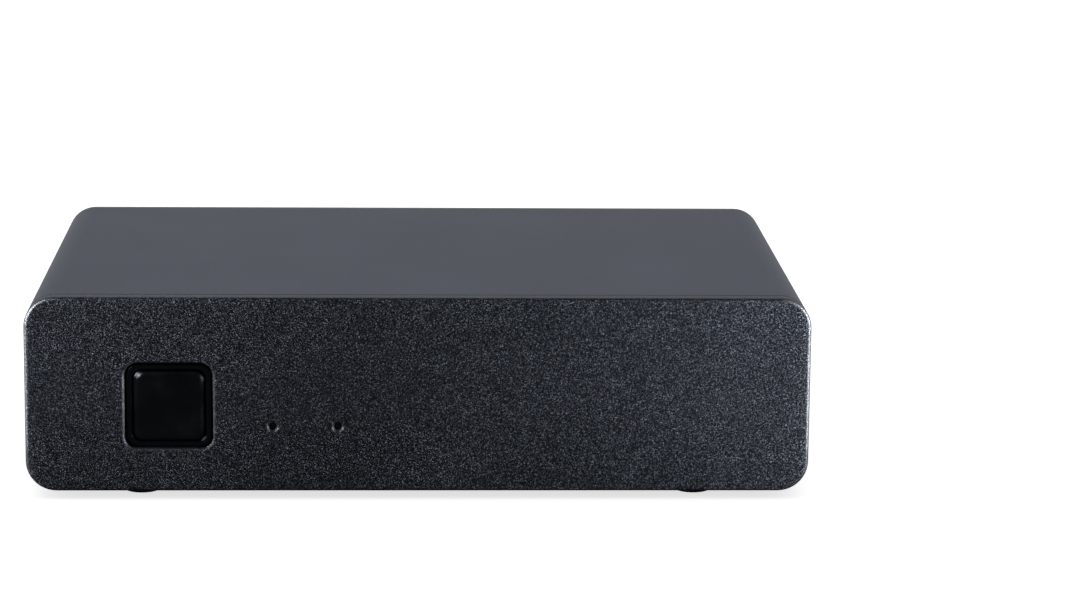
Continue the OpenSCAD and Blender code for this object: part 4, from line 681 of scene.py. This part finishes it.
class MEDIAPLAYER_OT_sockets(PieceOperator):
    """Finish the rear sockets and fit their contacts"""

    bl_idname = "mediaplayer.sockets"
    bl_label = "Rear sockets"

    def execute(self, context):
        settings = self.settings(context)
        sockets = settings.sockets
        plated = tuple(sockets.plated)
        for node, insulator in (
            ("coaxial_jack", sockets.coaxial), ("video_jack", sockets.video),
            ("left_audio_jack", sockets.left_audio), ("right_audio_jack", sockets.right_audio),
        ):
            wear(phono_finish("Phono_" + node, tuple(insulator), plated, node), node)
        wear(turned_metal("Plated_shell", plated, 0.28), "hdmi_socket", "usb_sockets")
        wear(lined_shell("Network_shell", plated, tint(20, 20, 22), "network_socket"), "network_socket")
        gold = turned_metal("Gold_contact", tuple(sockets.gold), 0.22)
        black = moulded_plastic("Contact_block", tint(16, 16, 17), 0.42)
        self.network(sockets, gold)
        self.video(sockets, gold, black)
        self.usb(sockets, gold, black)
        self.power(settings, gold)
        return {"FINISHED"}

    def network(self, sockets, gold):
        """Eight sprung wires that slope down into the mouth from its roof."""
        low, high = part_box("network_socket")
        middle = (low.x + high.x) / 2
        count, pitch, width = 8, 1.27 * MM, 0.5 * MM
        floor, roof = low.z + 4.4 * MM, low.z + 12.3 * MM
        path = [(high.y - depth * MM, height) for depth, height in (
            (12.8, floor + 0.9 * MM), (12.4, floor + 1.9 * MM),
            (3.2, roof - 1.4 * MM), (2.4, roof - 0.7 * MM), (1.9, roof - 0.15 * MM))]
        mesh = bmesh.new()
        for i in range(count):
            x = middle + (i - (count - 1) / 2) * pitch
            add_strip(mesh, path, x, width, sockets.contact_t)
        piece("network_contacts", mesh, gold, "case")

    def video(self, sockets, gold, black):
        """The moulded tongue with a row of contacts on each side."""
        low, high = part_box("hdmi_socket")
        middle, base = (low.x + high.x) / 2, low.z + (high.z - low.z) * 0.45
        half_w, thickness, root, tip = 5.6 * MM, 0.9 * MM, high.y - 8.9 * MM, high.y - 1.2 * MM
        mesh = bmesh.new()
        add_block(mesh, (middle - half_w - SKIN, root, base - SKIN),
                  (middle + half_w + SKIN, tip + SKIN, base + thickness + SKIN), 0.12 * MM)
        piece("digital_video_tongue", mesh, black, "case")
        pitch, width, contact_t, arch = 1.0 * MM, 0.42 * MM, 0.16 * MM, 0.04 * MM
        mesh = bmesh.new()
        for count, side, z in ((10, 1, base + thickness + SKIN), (9, -1, base - SKIN)):
            path = [(high.y - 8.8 * MM, z), (high.y - 2.1 * MM, z + side * arch), (high.y - 1.7 * MM, z)]
            for i in range(count):
                add_strip(mesh, path, middle + (i - (count - 1) / 2) * pitch, width, contact_t)
        piece("digital_video_contacts", mesh, gold, "case")

    def usb(self, sockets, gold, black):
        """In each mouth a moulded tongue with four contacts below it."""
        low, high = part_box("usb_sockets")
        middle, mouth_h = (low.x + high.x) / 2, 5.2 * MM
        rise = (high.z - low.z - 2 * mouth_h) / 3
        half_w, thickness, root, tip = 5.6 * MM, 1.9 * MM, high.y - 12.9 * MM, high.y - 1.5 * MM
        offsets, width, dip = (-3.5, -1.0, 1.0, 3.5), 1.0 * MM, 0.25 * MM
        tongues, contacts = bmesh.new(), bmesh.new()
        for i in range(2):
            base = low.z + rise + i * (mouth_h + rise) + mouth_h * 0.56
            add_block(tongues, (middle - half_w - SKIN, root, base - SKIN),
                      (middle + half_w + SKIN, tip + SKIN, base + thickness + SKIN), 0.2 * MM)
            z = base - SKIN - sockets.contact_t / 2
            path = [(high.y - 12.5 * MM, z), (high.y - 5 * MM, z), (high.y - 4 * MM, z - dip),
                    (high.y - 3 * MM, z)]
            for offset in offsets:
                add_strip(contacts, path, middle + offset * MM, width, sockets.contact_t)
        piece("usb_tongues", tongues, black, "case")
        piece("usb_contacts", contacts, gold, "case")

    def power(self, settings, gold):
        """The plated pin of the power jack, with a rounded tip, and the contact ring in its mouth."""
        low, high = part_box("power_jack")
        centre, steps = ((low.x + high.x) / 2, low.z + 6.3 * MM), settings.round_steps
        pin_r, bore_r, tip_r = 1.09 * MM, 0.05 * MM, 0.5 * MM
        root, tip = high.y - 9.4 * MM, high.y - 0.76 * MM
        pin = [(bore_r, root), (pin_r, root),
               *rounded((pin_r - tip_r, tip - tip_r), tip_r, 0.0, 6), (bore_r, tip)]
        ring = rounded_ring(2.75 * MM, 3.12 * MM, high.y - 9.3 * MM, high.y - 2.2 * MM, 0.12 * MM)
        mesh = bmesh.new()
        for profile in (pin, ring):
            add_turned(mesh, profile, centre, steps)
        piece("power_jack_contacts", mesh, gold, "case", smooth=True)


class MEDIAPLAYER_OT_rocker(PieceOperator):
    """Finish the mains rocker and set its two signs on it"""

    bl_idname = "mediaplayer.rocker"
    bl_label = "Rocker switch"

    def execute(self, context):
        rocker = moulded_plastic(
            "Rocker_plastic", tint(15, 15, 16), 0.3, grain=0.5 * MM, depth=0.01 * MM, edge=0.4 * MM)
        wear(rocker, "power_rocker")
        hinge = next(joint for joint in frame["joints"] if joint["name"] == "power_rocker_tilt")
        pivot = Vector(hinge["pos_m"])
        white = moulded_plastic("Sign_white", tint(226, 226, 222), 0.45)
        half_w, half_h = 0.27 * MM, 1.35 * MM
        corners = [(-half_w, -half_h), (-half_w, half_h), (half_w, half_h), (half_w, -half_h)]
        self.sign("rocker_sign_on", pivot, 1, [(0.0, y) for x, y in corners], corners, white)
        steps = self.settings(context).round_steps
        angles = [2 * math.pi * i / steps for i in range(steps)]
        inner, outer = (
            [(r * math.cos(angle), r * math.sin(angle)) for angle in angles] for r in (1.05 * MM, 1.5 * MM))
        self.sign("rocker_sign_off", pivot, -1, inner, outer, white)
        return {"FINISHED"}

    def sign(self, name, pivot, side, inner, outer, white):
        """A low raised band between two outlines, on the rocker's upper (1) or lower (-1) face."""
        slant, face_h, relief = 1.3, 7.2, 0.05 * MM
        along = Vector((0.0, slant * side, face_h)).normalized()
        out = Vector((0.0, face_h, -slant * side)).normalized()
        middle = Vector((0.0, 3.95 * MM, 3.6 * MM * side))
        tilt = Matrix.Rotation(math.radians(-10), 4, "X")
        mesh = bmesh.new()
        bands = []
        for outline, lift in ((inner, -relief), (outer, -relief), (outer, relief), (inner, relief)):
            bands.append([
                mesh.verts.new(pivot + tilt @ (middle + Vector((u, 0.0, 0.0)) + along * v + out * lift))
                for u, v in outline])
        for first, second in zip(bands, bands[1:] + bands[:1]):
            for i in range(len(outer)):
                k = (i + 1) % len(outer)
                mesh.faces.new((first[i], first[k], second[k], second[i]))
        bmesh.ops.remove_doubles(mesh, verts=mesh.verts, dist=0.001 * MM)
        bmesh.ops.recalc_face_normals(mesh, faces=mesh.faces)
        piece(name, mesh, white, "rocker")


class MEDIAPLAYER_OT_bay(PieceOperator):
    """Finish the tray, its face, the cage and the thumbscrews"""

    bl_idname = "mediaplayer.bay"
    bl_label = "Drive bay and tray"

    def execute(self, context):
        bay = self.settings(context).bay
        zinc = tuple(bay.zinc)
        wear(rolled_metal("Zinc_sheet", zinc), "drive_tray", "drive_cage")
        wear(rolled_metal("Zinc_chassis", darker(zinc, 0.95)), "chassis")
        face = moulded_plastic(
            "Tray_face", tuple(bay.moulding), 0.52, grain=0.35 * MM, depth=0.05 * MM, edge=0.3 * MM)
        wear(face, "tray_face")
        wear(moulded_plastic("Natural_nylon", tint(222, 218, 204), 0.4), "tray_rails")
        wear(turned_metal("Nickel_knurl", tuple(bay.nickel)), "left_thumbscrew", "right_thumbscrew")
        wear(turned_metal("Spring_steel", tint(120, 121, 124), 0.3),
             "left_retaining_clip", "right_retaining_clip")
        return {"FINISHED"}


class MEDIAPLAYER_OT_inside(PieceOperator):
    """Finish the boards, what stands on them, the cables and the screws"""

    bl_idname = "mediaplayer.inside"
    bl_label = "Boards and inner parts"

    def execute(self, context):
        inside = self.settings(context).inside
        wear(circuit_board("Circuit_board", tuple(inside.mask), tuple(inside.copper), inside.track),
             "main_board", "front_board", "drive_board")
        wear(turned_metal("Zinc_screw", tint(184, 186, 186)),
             "foot_screws", "front_panel_screws", "front_board_screws", "board_screws", "cage_screws",
             "thumb_nuts", "drive_board_screws", "tray_face_screws")
        wear(turned_metal("Brass", tint(206, 172, 98)), "cage_spacers")
        wear(moulded_plastic("Black_plastic", tint(24, 24, 26), 0.46),
             "tact_plunger", "infrared_receiver", "processor", "memory_chips", "power_coils",
             "cell_holder", "power_jack", "rocker_housing", "drive_socket", "heat_sink_pins")
        wear(rolled_metal("Switch_metal", tint(180, 180, 184)), "tact_switch")
        wear(satin_metal("Black_aluminium", tint(38, 39, 42), 0.4), "heat_sink")
        wear(rubber("Thermal_pad", tint(128, 148, 186)), "thermal_pad")
        wear(rolled_metal("Can", tint(170, 172, 178), 0.25), "capacitors")
        wear(turned_metal("Cell_steel", tint(196, 196, 198)), "coin_cell")
        wear(moulded_plastic("Cream_plastic", tint(226, 220, 200), 0.45), "front_cable_connectors")
        wear(moulded_plastic("Cable_film", tint(216, 216, 210), 0.35), "front_cable")
        wear(moulded_plastic("Cable_black", tint(26, 26, 28), 0.5), "drive_cable")
        wear(moulded_plastic("Lead_insulation", tint(150, 26, 22), 0.4), "rocker_leads")
        return {"FINISHED"}


class MEDIAPLAYER_OT_stage(PieceOperator):
    """Lay the floor, light it and set the camera"""

    bl_idname = "mediaplayer.stage"
    bl_label = "Stage"

    def execute(self, context):
        stage = self.settings(context).stage
        scene = context.scene
        scene.view_settings.view_transform = "Standard"
        self.floor(scene, stage)
        self.world(scene, stage)
        self.lamp(scene, "top", stage, *TOP_LAMP)
        for name, size, place, nodes in SHINE_LAMPS:
            made = self.lamp(scene, name, stage, size, place)
            made.visible_diffuse = False
            shown_on = bpy.data.collections.new(made.name + "_shown_on")
            for node in nodes:
                shown_on.objects.link(frame["nodes"][node])
            made.light_linking.receiver_collection = shown_on
        self.camera(scene, stage)
        return {"FINISHED"}

    def floor(self, scene, stage):
        """A wide pale floor, white to the camera except where the player shades it."""
        base = tuple(stage.floor_colour)
        finish = Finish("Pale_floor", base, roughness=0.8, Specular_IOR_Level=0.0)
        clouds = finish.noise(0.4, detail=2.0)
        finish.set("Base Color", finish.mixed(clouds, darker(base, 0.99), base))
        finish.set("Emission Color", (1.0, 1.0, 1.0, 1.0))
        rays = finish.node("LightPath").node.outputs
        mirrored = finish.maths("MAXIMUM", rays["Is Glossy Ray"], rays["Is Transmission Ray"])
        mirrored = finish.maths("MULTIPLY", mirrored, self.painted_floor_reflection(finish))
        seen = finish.maths("MULTIPLY", rays["Is Camera Ray"], FLOOR_GLOW)
        finish.set("Emission Strength", finish.maths("ADD", mirrored, seen))
        mesh = bmesh.new()
        angles = [2 * math.pi * i / FLOOR_SIDES for i in range(FLOOR_SIDES)]
        mesh.faces.new([
            mesh.verts.new((FLOOR_RADIUS * math.cos(angle), FLOOR_RADIUS * math.sin(angle), 0.0))
            for angle in angles])
        data = bpy.data.meshes.new("Floor")
        mesh.to_mesh(data)
        mesh.free()
        data.materials.append(finish.material)
        made = bpy.data.objects.new("Floor", data)
        scene.collection.objects.link(made)

    def painted_floor_reflection(self, finish):
        """How white shiny surfaces show the floor, with a painted shadow under the player and a painted
        reflection ahead of it: dimmer there, and brighter to the right than to the left.
        """
        low, high = SOLID_BOX
        under, fade, lane = 10 * MM, 90 * MM, 40 * MM
        past = []
        for axis, near, far in (("X", low.x, high.x), ("Y", low.y, high.y)):
            beyond = finish.maths(
                "SUBTRACT", finish.away(finish.axis(axis), (near + far) / 2), (far - near) / 2 - under)
            past.append(finish.maths("MAXIMUM", beyond, 0.0))
        # Painted shadow: what shiny surfaces see of the floor fades to dark under the player.
        clear = finish.scaled(finish.hypotenuse(*past), 0.0, fade)
        # Painted reflection: ahead of the front the floor's shine is dimmer, and brighter to the right than
        # to the left, so that the front's right end shows lighter.
        right = finish.scaled(finish.axis("X"), 20 * MM, 170 * MM, 0.05, 0.5)
        left = finish.scaled(finish.axis("X"), 0.0, -170 * MM, 0.0, 0.15)
        ahead = finish.maths("ADD", right, left)
        uneven = finish.scaled(finish.axis("Y"), low.y, low.y - lane, FLOOR_GLOW, ahead)
        return finish.maths("MULTIPLY", clear, uneven)

    def world(self, scene, stage):
        """White behind the player, and dim on the camera's side for what glossy surfaces show."""
        world = bpy.data.worlds.new("Studio")
        scene.world = world
        world.use_nodes = True
        tree = NodeTree(world.node_tree)
        background = tree.nodes["Background"]
        tree.feed(background.inputs["Color"], (1.0, 1.0, 1.0, 1.0))
        behind = tree.node("SeparateXYZ", "Y", {0: tree.node("TexCoord", "Generated")})
        shade = tree.node("MapRange", "Result", {
            "Value": behind, "From Min": -0.97, "From Max": -0.5,
            "To Min": stage.front_surround, "To Max": 1.0}, interpolation_type="SMOOTHSTEP")
        rays = tree.node("LightPath").node.outputs
        mirrored = tree.maths("MAXIMUM", rays["Is Glossy Ray"], rays["Is Transmission Ray"])
        light = tree.node("Mix", inputs={0: mirrored, 2: stage.surround, 3: shade})
        strength = tree.node("Mix", inputs={0: rays["Is Camera Ray"], 2: light, 3: 1.0})
        tree.feed(background.inputs["Strength"], strength)

    def lamp(self, scene, name, stage, size, place):
        """A round lamp that the camera doesn't see, with the power that the settings give it."""
        lamp = bpy.data.lights.new(name.title() + "_lamp", "AREA")
        lamp.shape = "DISK"
        lamp.size = size
        lamp.energy = getattr(stage, name + "_power")
        made = bpy.data.objects.new(lamp.name, lamp)
        made.visible_camera = False
        made.location = place
        aim = Vector(LAMP_TARGET) - Vector(place)
        made.rotation_euler = aim.to_track_quat("-Z", "Y").to_euler()
        scene.collection.objects.link(made)
        return made

    def camera(self, scene, stage):
        """The photograph's view: almost straight at the front, a little from above."""
        forward, fall = math.cos(CAMERA_PITCH), -math.sin(CAMERA_PITCH)
        ahead = Vector((math.sin(CAMERA_YAW) * forward, math.cos(CAMERA_YAW) * forward, fall))
        level = Vector((math.cos(CAMERA_YAW), -math.sin(CAMERA_YAW), 0.0))
        upright = level.cross(ahead)
        side = level * math.cos(CAMERA_ROLL) + upright * math.sin(CAMERA_ROLL)
        upward = upright * math.cos(CAMERA_ROLL) - level * math.sin(CAMERA_ROLL)
        data = bpy.data.cameras.new("Camera")
        data.sensor_width = 36.0
        data.lens = stage.lens
        data.clip_end = 50.0
        made = bpy.data.objects.new("Camera", data)
        turned = Matrix((side, upward, -ahead)).transposed().to_4x4()
        made.matrix_world = Matrix.Translation(CAMERA_PLACE) @ turned
        scene.collection.objects.link(made)
        scene.camera = made


OPERATORS = (
    MEDIAPLAYER_OT_case, MEDIAPLAYER_OT_feet, MEDIAPLAYER_OT_controls, MEDIAPLAYER_OT_sockets,
    MEDIAPLAYER_OT_rocker, MEDIAPLAYER_OT_bay, MEDIAPLAYER_OT_inside, MEDIAPLAYER_OT_stage,
)


GROUPS = {
    "case": CaseSettings, "controls": ControlSettings, "sockets": SocketSettings,
    "bay": BaySettings, "inside": InsideSettings, "stage": StageSettings,
}


class MEDIAPLAYER_PT_pieces(Panel):
    """The player's pieces, and the settings that they take"""

    bl_idname = "MEDIAPLAYER_PT_pieces"
    bl_label = "Media Player"
    bl_space_type = "VIEW_3D"
    bl_region_type = "UI"
    bl_category = "Media Player"

    def draw(self, context):
        for operator in OPERATORS:
            self.layout.operator(operator.bl_idname)
        for name, group in GROUPS.items():
            box = self.layout.box()
            for key in group.__annotations__:
                box.prop(getattr(context.scene.media_player, name), key)


CLASSES = (*GROUPS.values(), MediaPlayerSettings, *OPERATORS, MEDIAPLAYER_PT_pieces)


def register():
    for cls in CLASSES:
        bpy.utils.register_class(cls)
    bpy.types.Scene.media_player = PointerProperty(type=MediaPlayerSettings)


def unregister():
    del bpy.types.Scene.media_player
    for cls in reversed(CLASSES):
        bpy.utils.unregister_class(cls)


def main():
    """Builds every piece and the stage."""
    register()
    for operator in OPERATORS:
        group, name = operator.bl_idname.split(".")
        getattr(getattr(bpy.ops, group), name)()


if __name__ == "__main__":
    main()
